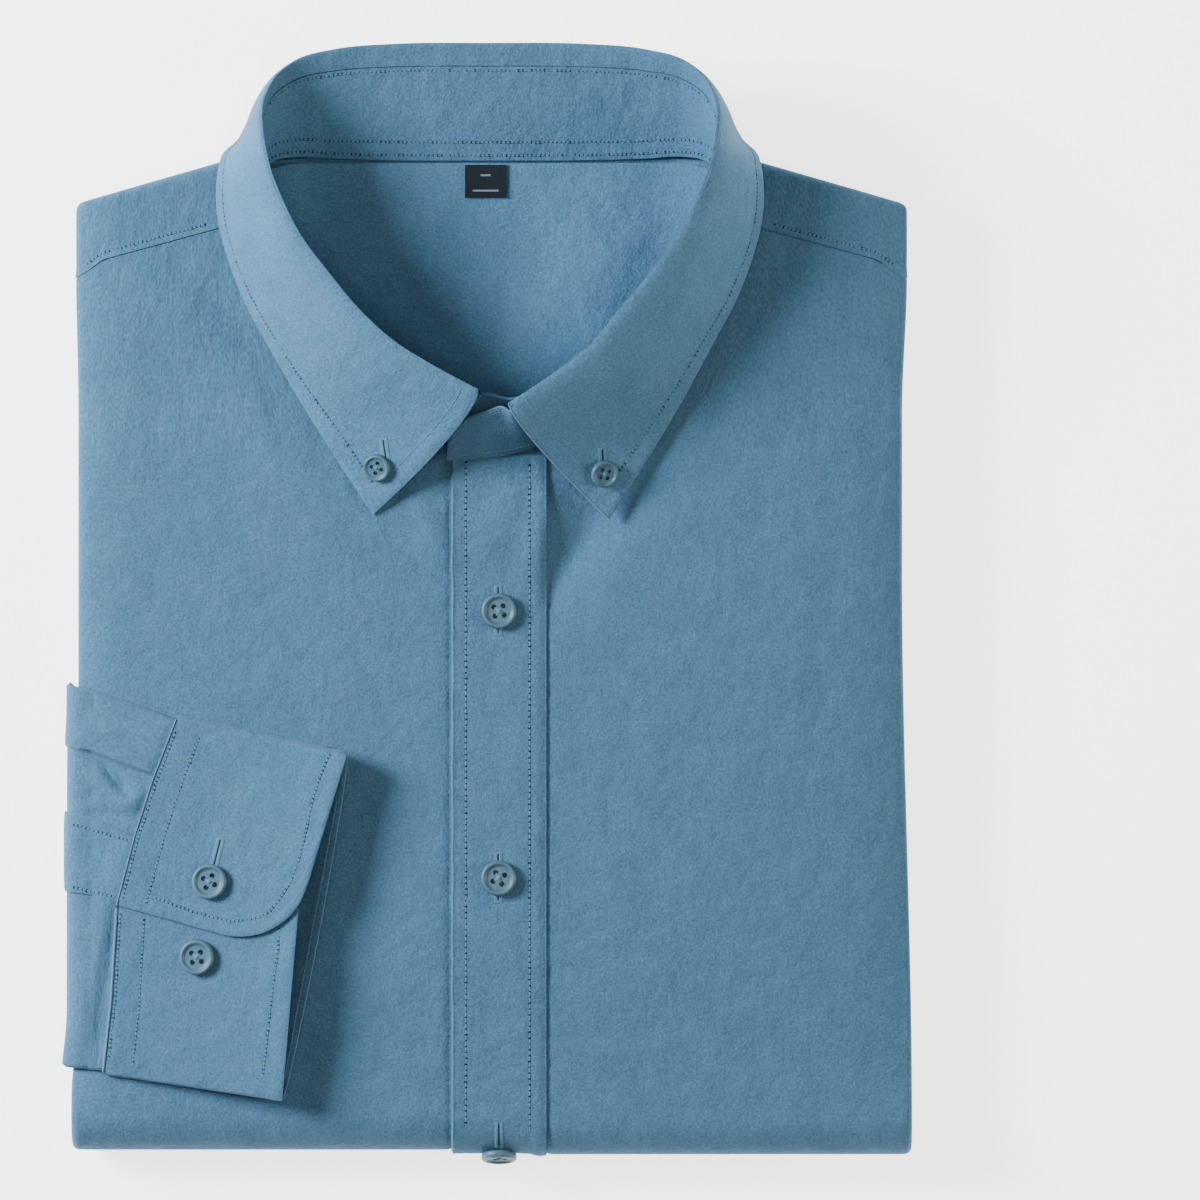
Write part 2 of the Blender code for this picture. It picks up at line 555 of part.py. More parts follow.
def collar_band(material):
    """The band that stands round the neck. Its ends overlap at the front, the left one on top."""
    rows = collar_rows()
    top = mix(rows["foot"], rows["roll"], BAND_SHARE)
    right, left = np.array(BAND_END["right"])[::-1], np.array(BAND_END["left"])
    foot_columns, top_columns = BAND_END_COLUMNS["foot"], BAND_END_COLUMNS["top"]
    whole = band_grid(
        np.concatenate([right[:, foot_columns], rows["foot"], left[:, foot_columns]]),
        np.concatenate([right[:, top_columns], top, left[:, top_columns]]),
    )
    away = away_from_neck(whole)
    away[:, len(right) : -len(left)] = collar_normals()[: len(BAND_SHARES)]
    return wall("collar_band", whole, whole + STIFF * away, material)


def collar_normals():
    """Normals of the band and the leaf together, so that their walls meet squarely at the seam."""
    rows = collar_rows()
    band = band_grid(rows["foot"], mix(rows["foot"], rows["roll"], BAND_SHARE))
    away = away_from_neck(np.concatenate([band, leaf_grid()]))
    seam = len(band)
    away[seam - 1 : seam + 1] = unit(away[seam - 1] + away[seam])
    return away


def leaf_grid():
    """The leaf's outer face, from the band seam over the roll to its edge, by sections."""
    rows = collar_rows()
    foot, roll, edge = rows["foot"], rows["roll"], rows["edge"]
    up = np.array((0.0, 0.0, 1.0))
    along = np.gradient(roll, axis=0) * (1.0, 1.0, 0.0)
    out = unit(np.cross(along, up))
    out = out * np.sign(np.sum(out * (roll - NECK_MIDDLE), axis=1))[:, None]
    fall = edge - roll
    sideways = unit(np.cross(fall * (1.0, 1.0, 0.0) + 1e-6, up))
    to_front = np.array((BUTTON_X, 20.0, 0.0)) - mix(roll, edge, 0.5)
    sideways = sideways * np.sign(np.sum(sideways * to_front, axis=1))[:, None]
    swell, bow = rows["swell"][:, None], rows["bow"][:, None]
    first = roll + out * swell * 0.6 + up * swell * 0.12
    hanging = edge - fall * 0.35 + up * np.linalg.norm(fall, axis=1)[:, None] * 0.1 + out * swell * 0.4
    lying = edge - fall * (0.5, 0.5, 0.0) + up * 0.8
    reach = np.linalg.norm(fall[:, :2], axis=1)[:, None]
    second = mix(hanging, lying, smooth((reach - 28.0) / 20.0))
    band_top = mix(foot, roll, BAND_SHARE) + unit(roll - foot) * LEAF_GAP
    grid = [band_top, mix(band_top, roll, 0.6) + up * swell * 0.02, roll]
    for t in LEAF_SHARES:
        point = (1 - t) ** 3 * roll + 3 * (1 - t) ** 2 * t * first + 3 * (1 - t) * t**2 * second
        grid.append(point + t**3 * edge + sideways * bow * 4.0 * t * (1.0 - t))
    return np.array(grid)


def collar_leaf(material):
    """The leaf that turns over from the band. Its points are buttoned down at the front."""
    seen = leaf_grid()
    return wall("collar_leaf", seen, seen + STIFF * collar_normals()[len(BAND_SHARES) :], material)


# ---------------------------------------------------------------- sleeve
# The cuff seam, and the sleeve's two edges, as the side they reach and their Y there.
SEAM = (
    (-151.8, -125.8), (-128.7, -123.2), (-97.5, -121.3), (-75.0, -115.4), (-57.0, -109.6), (-37.4, -102.0),
)
SLEEVE_TOP = ((102.0, -37.4), (137.0, -25.4), (151.5, -21.5))
SLEEVE_BOTTOM = ((125.8, -151.8), (138.0, -150.2), (151.5, -149.0))
SLEEVE_ACROSS = (0.0, PLEAT_AT, GAUNTLET_FROM, 0.44, GAUNTLET_TO, 0.78, 1.0)
SLEEVE_IN_FOLD = 7.0  # how far the sleeve runs back into the fold
SLEEVE_FRONT = (0.34, 0.67, 1.0)  # its sections on the front, as shares of the way to the cuff


def seam_x(y):
    table = np.array(SEAM)
    return np.interp(y, table[:, 0], table[:, 1])


def sleeve_sections():
    """Each section's place: how far past the side fold's start, or its share of the way on."""
    sections = [("past", FOLD_LENGTH + SLEEVE_IN_FOLD)]
    sections += [("past", BUNDLE * angle) for angle in SIDE_ANGLES[::-1]]
    return sections + [("front", share) for share in SLEEVE_FRONT]


def sleeve_row(kind, value, across, inset, lift):
    """Points of one section of the sleeve at shares of the way across it."""
    top, bottom = np.array(SLEEVE_TOP), np.array(SLEEVE_BOTTOM)
    flat = HALF_WIDTH - BUNDLE
    place = flat + value if kind == "past" else None
    if kind == "past":
        y_top = np.interp(place, top[:, 0], top[:, 1])
        y_bottom = np.interp(place, bottom[:, 0], bottom[:, 1])
        y = mix(y_top, y_bottom, across) - inset
        side = half_width(-1.0, y) - BUNDLE + value
    else:
        from_y = (np.interp(flat, top[:, 0], top[:, 1]), np.interp(flat, bottom[:, 0], bottom[:, 1]))
        start = mix(from_y[0], from_y[1], across)
        end = mix(top[0, 1], bottom[0, 1], across)
        y = mix(start, end, value) - inset
        side = mix(half_width(-1.0, y) - BUNDLE, -seam_x(end) + 2 * GAP, value)
    pleat = PLEAT_STEP * np.exp(-(((across - PLEAT_AT) / 0.06) ** 2)) * (kind == "front") * (lift > 1.5)
    return body_point(-side, y, lift + pleat)


def sleeve_right(material):
    """The sleeve: a flat tube out of the fold, round the side and on to the cuff."""
    u = np.array(SLEEVE_ACROSS)
    ends = np.zeros(len(u))
    ends[0], ends[-1] = 1.0, -1.0
    nested = []
    for depth in (0.0, CLOTH):
        across = np.concatenate([[0.0], u, [1.0], u[::-1]])
        turned_in = (1.0 + depth * 0.7) * ends
        inset = np.concatenate([[depth], turned_in, [-depth], turned_in[::-1]])
        high, low = GAP + SLEEVE_THICK - depth, GAP + depth
        middle = (high + low) / 2
        lift = np.concatenate([[middle], np.full(len(u), high), [middle], np.full(len(u), low)])
        nested.append(np.array([sleeve_row(k, v, across, inset, lift) for k, v in sleeve_sections()]))
    return tube("sleeve_right", nested[0], nested[1], material)


def sleeve_placket(material):
    """The strip that edges the sleeve's opening, on top of the sleeve."""
    u = np.array([s for s in SLEEVE_ACROSS if GAUNTLET_FROM <= s <= GAUNTLET_TO])
    sections = sleeve_sections()[6:]
    low = GAP + SLEEVE_THICK + GAP
    seen = np.array([sleeve_row(k, v, u, 0.0, np.full(len(u), low + CLOTH)) for k, v in sections])
    back = np.array([sleeve_row(k, v, u, 0.0, np.full(len(u), low)) for k, v in sections])
    return wall("sleeve_placket", seen, back, material)


# ---------------------------------------------------------------- cuff
CUFF_ACROSS = np.array((0.0, 0.2, 0.4, 0.6, 0.74, 0.86, 0.95, 1.0))
CUFF_LENGTH = 56.0  # from the seam to the mouth
CUFF_RADII = (1.2, 0.75)  # of the turns at the top fold and at the bottom fold
CUFF_STACK = (1.0, 2.5, 4.0)  # middle of each layer of cuff, up from the front
CUFF_TURNS = np.radians((45, 90, 135))


def cuff_line(line, share):
    """A point across the cuff on one of its lines, as X and Y."""
    seam = np.array((seam_x(line[1]), line[1]))
    return mix(seam, np.array(line[2:]), share[:, None])


def cuff_row(place, lift, gape):
    x, y = place[:, 0], place[:, 1]
    return points(x, y, front_z(x, y) + lift + mix(CUFF_LOW_LIFT, CUFF_LIFT, gape) * CUFF_ACROSS**2)


def cuff_grid(half):
    """One face of the cuff's strip, half its thickness out from the middle of it."""
    v = CUFF_ACROSS
    lines = (CUFF_OVERLAP_END, CUFF_TOP_FOLD, CUFF_BOTTOM_FOLD, CUFF_UNDERLAP_END)
    overlap, top, bottom, underlap = (cuff_line(line, v) for line in lines)
    low, middle, high = CUFF_STACK
    up = unit(top - bottom)
    inward = np.clip(CUFF_ROUND - (1.0 - v) * CUFF_LENGTH, 0.0, CUFF_ROUND)
    cut = (CUFF_ROUND - np.sqrt(CUFF_ROUND**2 - inward**2)) / np.linalg.norm(top - overlap, axis=1)
    radius = CUFF_RADII[0]
    rows = []
    for t in (0.0, 0.14, 0.3, 0.5, 0.75, 1.0):
        t = cut + (1.0 - cut) * t
        lift = mix(high, low + 2 * radius, smooth((t - 0.5) / 0.4))
        rows.append(cuff_row(mix(overlap, top, t[:, None]), lift + half, 1.0))
    for angle in CUFF_TURNS:
        out = (radius + half) * math.sin(angle)
        lift = low + radius + (radius + half) * math.cos(angle)
        rows.append(cuff_row(top + up * out, lift, (1.0 + math.cos(angle)) / 2))
    for t in (0.0, 0.25, 0.5, 0.75, 1.0):
        rows.append(cuff_row(mix(top, bottom, t), low - half, 0.0))
    radius = CUFF_RADII[1]
    for angle in CUFF_TURNS:
        out = (radius + half) * math.sin(angle)
        lift = low + radius - (radius + half) * math.cos(angle)
        rows.append(cuff_row(bottom - up * out, lift, (1.0 - math.cos(angle)) / 2))
    for t in (0.0, 0.3, 0.6, 1.0):
        rows.append(cuff_row(mix(bottom, underlap, t), middle + half, 1.0))
    return np.array(rows)


def cuff(material):
    """The cuff: a stiff strip that goes once round, its rounded end on top."""
    return wall("cuff", cuff_grid(STIFF / 2), cuff_grid(-STIFF / 2), material)


# ---------------------------------------------------------------- buttons
BUTTON_PROFILE = ((0.9, 0.0), (1.0, 0.22), (1.0, 0.62), (0.94, 0.92), (0.84, 1.0), (0.74, 0.9), (0.68, 0.66))
BUTTON_HOLE_R, BUTTON_HOLE_FROM_MIDDLE = 0.8, 1.75


def fill_with_holes(work, rim, holes):
    """A flat face between a rim and four holes."""
    edges = []
    for loop in (rim, *holes):
        for a, b in zip(loop, [*loop[1:], loop[0]]):
            edges.append(work.edges.get((a, b)) or work.edges.new((a, b)))
    bmesh.ops.triangle_fill(work, edges=edges, use_beauty=True)


def button(name, radius, thick, place, facing, material):
    """A four-hole button with a raised rim, its back at place, its face along facing."""
    work = bmesh.new()
    across = np.arange(BUTTON_SIDES) * 2 * math.pi / BUTTON_SIDES
    rings = []
    for r, z in BUTTON_PROFILE:
        ring = [(r * radius * math.cos(a), r * radius * math.sin(a), z * thick) for a in across]
        rings.append([work.verts.new(v) for v in ring])
    scale = radius / BUTTON_R
    around = np.arange(HOLE_SIDES) * 2 * math.pi / HOLE_SIDES
    faces = {"back": [], "front": []}
    for side, z in (("back", 0.0), ("front", BUTTON_PROFILE[-1][1] * thick)):
        for middle_x in (-1, 1):
            for middle_y in (-1, 1):
                x, y = (BUTTON_HOLE_FROM_MIDDLE * scale * m / math.sqrt(1.7) for m in (middle_x, middle_y))
                hole = [(x + BUTTON_HOLE_R * scale * math.cos(a), y + BUTTON_HOLE_R * scale * math.sin(a), z)
                        for a in around]
                faces[side].append([work.verts.new(v) for v in hole])
    for low, high in zip(rings, rings[1:]):
        for j in range(BUTTON_SIDES):
            k = (j + 1) % BUTTON_SIDES
            work.faces.new((low[j], low[k], high[k], high[j]))
    for low, high in zip(faces["back"], faces["front"]):
        for j in range(HOLE_SIDES):
            k = (j + 1) % HOLE_SIDES
            work.faces.new((low[k], low[j], high[j], high[k]))
    fill_with_holes(work, rings[0], faces["back"])
    fill_with_holes(work, rings[-1], faces["front"])
    facing = unit(np.array(facing, float))
    sideways = unit(np.cross((0.0, 1.0, 0.0), facing))
    along = np.cross(facing, sideways)
    turned = {v: k for k, v in enumerate(work.verts)}
    vertices = [np.array(place) + v.co.x * sideways + v.co.y * along + v.co.z * facing for v in work.verts]
    triangles = [tuple(turned[v] for v in face.verts) for face in work.faces]
    work.free()
    return new_object(name, vertices, triangles, material)


def seat_on(carrier, place, radius):
    """Where a button's back goes above a point of the plan, clear of the cloth below its rim."""
    vertices = [v.co[:] for v in carrier.data.vertices]
    tree = BVHTree.FromPolygons(vertices, [p.vertices[:] for p in carrier.data.polygons])
    hits = []
    for reach in (0.0, 0.5 * radius, radius):
        for angle in np.arange(16) * math.pi / 8:
            x, y = place[0] + reach * math.cos(angle), place[1] + reach * math.sin(angle)
            hit = tree.ray_cast((x * MM, y * MM, 1.0), (0.0, 0.0, -1.0))[0]
            hits.append(np.array(hit) / MM)
    middle, rim = hits[0], hits[-16:]
    facing = unit(sum(np.cross(rim[k] - middle, rim[(k + 4) % 16] - middle) for k in range(16)))
    lift = max(float(np.dot(hit - middle, facing)) for hit in hits) + GAP
    return middle + facing * lift, facing


def buttons(material, placket, leaf, cuff_strip):
    for name, y in zip(("button_chest", "button_waist"), BUTTON_Y):
        place, facing = seat_on(placket, (BUTTON_X, y), BUTTON_R)
        button(name, BUTTON_R, BUTTON_THICK, place, facing, material)
    place = body_point(BUTTON_X, TURN_Y - BUTTON_TURN * TURN_R, 2 * GAP + CLOTH)
    facing = (0.0, -math.sin(BUTTON_TURN), math.cos(BUTTON_TURN))
    button("button_fold", BUTTON_R, BUTTON_THICK, place, facing, material)
    for side, plan in COLLAR_BUTTON.items():
        place, facing = seat_on(leaf, plan, SMALL_R)
        button(f"button_collar_{side}", SMALL_R, SMALL_THICK, place, facing, material)
    for name, plan in zip(("button_cuff_over", "button_cuff_under"), CUFF_BUTTON):
        place, facing = seat_on(cuff_strip, plan, BUTTON_R)
        button(name, BUTTON_R, BUTTON_THICK, place, facing, material)


# ---------------------------------------------------------------- the shirt
def new_material(name, colour, roughness):
    material = bpy.data.materials.new(name)
    material.use_nodes = True
    shader = material.node_tree.nodes["Principled BSDF"]
    shader.inputs["Base Color"].default_value = (*colour, 1.0)
    shader.inputs["Roughness"].default_value = roughness
    return material


def main():
    for thing in list(bpy.data.objects):
        bpy.data.objects.remove(thing, do_unlink=True)
    cloth = new_material("chambray", (0.17, 0.28, 0.4), 0.9)
    horn = new_material("button", (0.55, 0.6, 0.62), 0.35)
    woven = new_material("label", (0.02, 0.035, 0.06), 0.8)
    folded_layers(cloth)
    front_panel("front_right", -1.0, (-FRONTS_MEET_X + GAP / 2, 0.0, -PLACKET_LEFT, *PANEL_X), cloth)
    front_panel("front_left", 1.0, (FRONTS_MEET_X + GAP / 2, PLACKET_RIGHT, *PANEL_X), cloth)
    placket = front_placket(cloth)
    yoke_outer(cloth)
    yoke_inner(cloth)
    label(woven)
    collar_band(cloth)
    leaf = collar_leaf(cloth)
    sleeve_right(cloth)
    sleeve_placket(cloth)
    cuff_strip = cuff(cloth)
    buttons(horn, placket, leaf, cuff_strip)


main()
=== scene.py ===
"""Looks of the folded dress shirt: cloth, stitching, buttons, floor, light and camera.

Each piece of cloth is a thin shell on the form of the solid that it replaces. The forms come from
the same sizes as the solids, with the smaller folds, puckers and stitch lines added here. Lengths
are in millimetres until new_piece() turns them into metres, but for the floor, the lamps and the
camera, which are in metres. "Right" and "left" are the wearer's: right is at -X. Y runs towards the
collar and Z is up, out of the front.
"""

import math

import bmesh
import bpy
import numpy as np
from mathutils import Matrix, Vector
from mathutils.bvhtree import BVHTree


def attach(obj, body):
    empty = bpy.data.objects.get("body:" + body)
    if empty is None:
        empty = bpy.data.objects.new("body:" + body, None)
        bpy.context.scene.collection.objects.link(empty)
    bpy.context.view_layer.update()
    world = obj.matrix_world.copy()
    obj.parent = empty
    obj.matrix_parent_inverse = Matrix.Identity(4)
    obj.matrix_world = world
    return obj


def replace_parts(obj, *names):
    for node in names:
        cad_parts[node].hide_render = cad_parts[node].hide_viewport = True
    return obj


MM = 0.001
random = np.random.default_rng(7)

# ---------------------------------------------------------------- sizes shared with the solids
CLOTH = 0.5  # one layer of cloth here
STIFF = 1.0  # collar and cuff
GAP = 0.3  # between pieces that lie on each other
UNDER = 1.3  # from one face down to the face below it
HALF_WIDTH = 134.2  # of the fold, where it doesn't flare
FLARE = ((2.2, -132.0, -160.0), (3.2, 10.0, -165.0))  # right and left: width, from Y, to Y
BOTTOM_Y = -178.0  # of the bottom fold
BUNDLE = 4.6  # half the thickness of the body's layers, of which there are an upper and a lower bundle
FLAT = HALF_WIDTH - BUNDLE  # from the middle to where the side folds begin
SLEEVE_ROOM = 4.8  # between the two bundles
RETURN = 8.0  # how far the cloth runs back past a fold
TAIL_Y = 121.0  # where the lower bundle ends
PRESS = 4.0  # how square the folds are pressed
CROWN, CROWN_FADE = 2.2, 60.0  # how much higher the middle lies, and over how far it builds up
CROWN_LOSS, CROWN_LOSS_Y = 0.55, 70.0  # how much of it goes towards the neck, and from where
TURN_R = BUNDLE + SLEEVE_ROOM / 2
AXIS_Z = 2 * BUNDLE + SLEEVE_ROOM / 2
UPPER_Z = AXIS_Z + TURN_R
TURN_Y = BOTTOM_Y + TURN_R + BUNDLE
TURN_LENGTH = math.pi * TURN_R
FOLD_LENGTH = math.pi * BUNDLE
TAIL_P = TURN_Y - TURN_LENGTH - (TAIL_Y - TURN_Y)
SHOULDER_X, SHOULDER_Y, SHOULDER_SLOPE, SHOULDER_TOP_Y = 89.0, 138.7, 0.282, 142.4
NECK_END_Y, NECK_HALF, NECK_FADE, NECK_DROP = 144.3, 58.0, 16.0, 5.2
YOKE_SEAM_X, YOKE_SEAM_Y, YOKE_SEAM_SLOPE = 88.0, 122.2, 0.27
YOKE_SEAM_BEND_X, YOKE_SEAM_BEND = 126.0, 0.45
INNER_HALF_X, INNER_LOW_Y, INNER_HIGH_Y = 84.0, 36.0, 143.6
DISH, DISH_X, DISH_FADE_X, DISH_FADE_Y = 4.8, 52.0, 30.0, 45.0
PLACKET_X, PLACKET_TOP_Y = (-12.6, 18.3), 48.7
PLACKET_END = math.radians(140.0)
FRONTS_MEET_X = 14.65
BUTTON_X, BUTTON_Y, BUTTON_TURN = 2.85, (-2.3, -89.1), math.radians(74.0)
LARGE, SMALL = (5.8, 2.4), (4.5, 2.0)  # radius and thickness of the buttons
NECKLINE_X = (0.0, 14.65, 30.0, 46.0, 60.0, 70.0, 76.6)
NECKLINE_Y = (52.0, 54.0, 61.5, 72.5, 86.0, 99.0, 124.8)
YOKE_NECK_X = (0.0, 56.0, 62.0, 69.5, 74.3, 77.0, 79.4)
YOKE_NECK_PAST = (5.2, 5.2, 5.0, 4.6, 1.4, -2.2, -40.0)

# Only here, and not in the solids. Pairs are for the right side and the left.
EDGE_DROP, EDGE_SOFT, EDGE_FADE = (4.5, 4.0), (6.5, 10.0), 14.0  # how the front rounds off
SHOULDER_FLARE, FLARE_FROM_Y, FLARE_RUN = (0.7, 1.6), 62.0, 45.0  # how it widens to the shoulders
SAG, SAG_FROM, SAG_FADE, SAG_UP = 1.5, 8.0, 14.0, 30.0  # how the left front hangs lower
SLEEVE_PUFF = 1.1  # how far the sleeve stands off the side fold
INNER_ROOM = 0.5  # under the inner yoke, for its folds

# Soft folds in the front: middle, heading in degrees from +X, half length, half width, height.
RIDGES = (
    (-58.0, 30.0, -55.0, 42.0, 15.0, 0.9),
    (42.0, 8.0, 52.0, 38.0, 12.0, 0.8),
    (22.0, 22.0, 62.0, 26.0, 8.0, -0.7),
    (80.0, 58.0, 40.0, 40.0, 17.0, 0.7),
    (-98.0, 62.0, -62.0, 38.0, 14.0, -0.6),
    (78.0, -92.0, -12.0, 44.0, 20.0, 0.6),
    (-30.0, -118.0, 18.0, 40.0, 18.0, 0.5),
)
# Smaller creases, only here, in the same columns.
CREASES = (
    (33.0, 25.0, 54.0, 20.0, 7.5, -3.1),
    (22.5, 8.0, 75.0, 12.0, 4.0, -1.0),
    (37.0, 22.0, 50.0, 42.0, 26.0, -1.8),
    (-88.0, 98.0, -42.0, 24.0, 5.0, -1.0),
    (-107.0, 100.0, -34.0, 26.0, 7.0, 0.7),
    (-20.5, 28.0, -58.0, 12.0, 4.5, 1.3),
    (-110.0, 12.0, 88.0, 34.0, 9.0, -0.45),
    (-70.0, 50.0, -58.0, 30.0, 8.0, 0.35),
    (104.0, 92.0, 62.0, 26.0, 6.0, 0.45),
    (96.0, -20.0, 68.0, 50.0, 9.0, 0.35),
    (50.0, -60.0, 80.0, 60.0, 7.0, 0.3),
    (-50.0, -30.0, 84.0, 40.0, 8.0, 0.3),
    (-44.0, -104.0, 79.7, 50.0, 8.0, -1.0),
    (36.0, -128.0, 24.0, 28.0, 7.0, 0.4),
    (88.0, -140.0, 8.0, 46.0, 6.0, 0.35),
    (112.0, 20.0, 84.0, 46.0, 5.0, -0.35),
)
# The turned edge of the placket: distance in from it, and height.
PLACKET_BEAD = (0.0, 0.2, 0.4, 0.6, 0.85, 1.2), (-0.8, -0.45, 0.0, 0.2, 0.12, 0.0)
# Grooves and beads: height, distance from the edge or seam, width.
YOKE_RELIEF = ((0.3, 0.0, 1.6), (-0.15, 3.0, 0.8))
LEAF_RELIEF = ((0.16, 6.0, 0.9), (0.4, 0.0, 0.45))
BAND_RELIEF = ((0.12, 1.8, 0.6), (0.12, 5.6, 0.7))
CUFF_EDGE_RELIEF = ((-0.3, 0.0, 0.45), (-0.16, 5.6, 0.8), (0.14, 3.0, 1.8))
CUFF_SEAM_RELIEF = ((-0.3, 0.0, 0.5), (-0.14, 9.4, 0.8), (-0.1, 1.6, 0.6))
GAUNTLET_RELIEF = ((-0.3, 0.0, 0.006), (-0.12, 0.02, 0.008))  # in shares of the way across the sleeve
PLACKET_THICK = 0.9
PLACKET_GROOVE, PLACKET_STITCH = (4.6, 5.3), (4.8, 5.4)  # in from its two edges
# Folds of the placket itself.
PLACKET_FOLDS = (
    (18.0, 24.0, 75.0, 18.0, 6.0, 2.1),
    (4.0, 27.0, 62.0, 10.0, 6.0, 0.5),
    (2.0, 11.0, 20.0, 12.0, 4.5, -0.5),
    (3.0, -24.0, 8.0, 12.0, 8.0, 0.22),
    (0.0, -38.0, -12.0, 10.0, 5.0, -0.22),
    (5.0, -62.0, 30.0, 12.0, 7.0, 0.22),
    (2.0, -78.0, 10.0, 10.0, 4.0, -0.2),
    (3.0, -112.0, -24.0, 14.0, 8.0, 0.2),
    (0.0, -134.0, 14.0, 12.0, 6.0, -0.2),
)

# Collar, from the centre back to the front of one side: X, Y and Z of the band's foot, of the top
# of the roll and of the leaf's edge, then how far the roll swells and the section bows.
COLLAR_COLUMNS = {"foot": slice(0, 3), "roll": slice(3, 6), "edge": slice(6, 9), "swell": 9, "bow": 10}
COLLAR_HALF = (
    (0.0, 144.4, 18.5, 0.0, 181.7, 36.5, 0.0, 172.5, 1.8, 3.2, 0.0),
    (30.0, 144.5, 18.5, 30.0, 181.4, 37.0, 31.0, 172.0, 1.8, 3.2, 0.0),
    (50.0, 145.0, 18.9, 50.0, 179.6, 38.5, 52.0, 170.3, 1.8, 3.2, 0.0),
    (62.0, 145.6, 20.4, 63.0, 175.8, 40.5, 66.0, 168.0, 2.0, 3.2, 0.0),
    (69.5, 144.4, 22.6, 70.0, 169.8, 43.0, 73.6, 164.8, 3.4, 3.8, 0.0),
    (74.3, 140.6, 24.4, 73.2, 162.2, 45.5, 77.8, 159.7, 6.0, 5.4, 0.0),
    (77.0, 134.5, 24.6, 73.1, 152.6, 48.2, 82.3, 151.6, 12.0, 5.6, 0.0),
    (78.2, 128.0, 24.8, 71.7, 145.0, 50.6, 87.6, 146.0, 22.2, 5.8, 0.0),
    (78.4, 124.0, 25.0, 70.8, 141.2, 51.4, 88.8, 141.0, 26.2, 5.5, 0.0),
    (78.0, 119.0, 25.0, 69.4, 137.0, 52.0, 89.4, 134.8, 26.3, 6.0, 0.0),
    (76.0, 111.5, 25.2, 62.5, 122.0, 53.6, 88.2, 121.5, 26.2, 8.0, 0.0),
    (70.5, 100.0, 25.3, 50.8, 105.8, 54.2, 80.6, 99.0, 27.0, 9.0, 0.0),
    (61.5, 87.5, 25.4, 41.7, 95.0, 54.2, 72.5, 83.8, 27.6, 10.0, 0.0),
)
COLLAR_FRONT = {
    "right": (
        (48.0, 74.5, 25.5, 30.4, 84.8, 53.8, 62.3, 66.3, 27.9, 10.5, 0.4),
        (31.0, 62.8, 25.6, 16.8, 76.4, 53.0, 51.0, 48.6, 27.6, 9.5, 1.4),
        (16.0, 55.0, 25.7, 3.6, 69.4, 52.2, 38.2, 28.9, 27.0, 7.0, 2.6),
    ),
    "left": (
        (48.0, 74.5, 25.5, 31.4, 82.8, 53.8, 62.0, 64.5, 27.9, 10.5, 0.4),
        (31.0, 61.0, 25.7, 18.6, 73.2, 53.0, 52.0, 48.0, 27.6, 9.5, 1.1),
        (14.0, 51.6, 27.0, 6.2, 65.1, 51.8, 38.8, 27.4, 27.0, 7.0, 1.8),
    ),
}
BAND_SHARE = 0.8  # how far up from its foot to the roll the band reaches
LEAF_GAP = 0.55  # between the band's top and the leaf, along the seen face
# The band runs on past the leaf: X, Y and Z of the foot and of the top of each further section.
BAND_END = {
    "left": (
        (6.0, 49.2, 27.1, 4.0, 64.2, 46.4),
        (-1.0, 48.2, 27.1, -1.6, 62.5, 44.4),
        (-7.0, 47.7, 27.1, -6.6, 60.7, 42.0),
        (-10.8, 47.4, 27.1, -10.2, 58.4, 39.2),
        (-13.0, 47.2, 27.1, -12.4, 55.6, 36.0),
        (-14.2, 47.1, 27.1, -13.2, 53.4, 33.4),
    ),
    "right": (
        (-6.0, 53.6, 25.7, -1.5, 68.4, 45.2),
        (4.0, 53.2, 25.7, 6.0, 66.9, 44.2),
        (11.5, 54.2, 25.7, 12.0, 67.6, 43.0),
    ),
}
NECK_MIDDLE = np.array((0.0, 112.0, 35.0))
BAND_SHARES = np.linspace(0.0, 1.0, 13)
LEAF_SHARES = np.concatenate([np.linspace(0.03, 0.3, 8), np.linspace(0.35, 0.94, 15), (0.97, 0.99, 1.0)])
COLLAR_STEP = 1.2  # between sections of the collar
LEAF_STITCH = 6.0  # from the leaf's edge to its stitches
LEAF_BULGE = 4.0  # how full the leaf stands over the front before its edge
# Rows of stitches on the band, up from its foot or, if negative, down from its top.
BAND_ROWS, BAND_END_ROWS = (1.8, 6.5, -1.2), (2.6, -1.0, -2.1)

SLEEVE_THICK, SLEEVE_WIDE, SLEEVE_IN_FOLD = 2.4, 112.0, 7.0  # of the flat tube, and how far it runs in
PLEAT_AT, PLEAT_STEP = 0.16, 1.5  # share of the way across, and height
OVERLAP_FROM = 0.53  # share of the seam at which the cuff's two ends part
SLEEVE_TUCK, SEAM_SLIT = 0.9, 0.12  # how far its end lies under the cuff's overlap, and off the rest
GAUNTLET_FROM, GAUNTLET_TO = 0.335, 0.54  # shares of the way across the sleeve
# X and Y at the seam and at the mouth, on the four turning lines of the cuff's strip.
CUFF_OVERLAP_END = (-121.5, -97.8, -65.7, -113.1)
CUFF_TOP_FOLD = (-102.0, -37.4, -46.5, -49.7)
CUFF_BOTTOM_FOLD = (-125.8, -151.8, -67.3, -160.2)
CUFF_UNDERLAP_END = (-115.0, -77.0, -60.8, -84.8)
CUFF_ROUND, CUFF_LENGTH = 22.0, 56.0  # radius of its rounded end, and from seam to mouth
# How high its mouth stands above and below, then how the lower layer curls and bulges and its ends flare.
CUFF_LIFT, CUFF_LOW_LIFT, CUFF_CURL, CUFF_BULGE, CUFF_FLARE = 8.6, 1.4, 1.6, 1.6, 0.25
CUFF_RADII, CUFF_STACK = (1.2, 0.75), (1.0, 2.5, 4.0)  # of its two folds, and heights of its layers
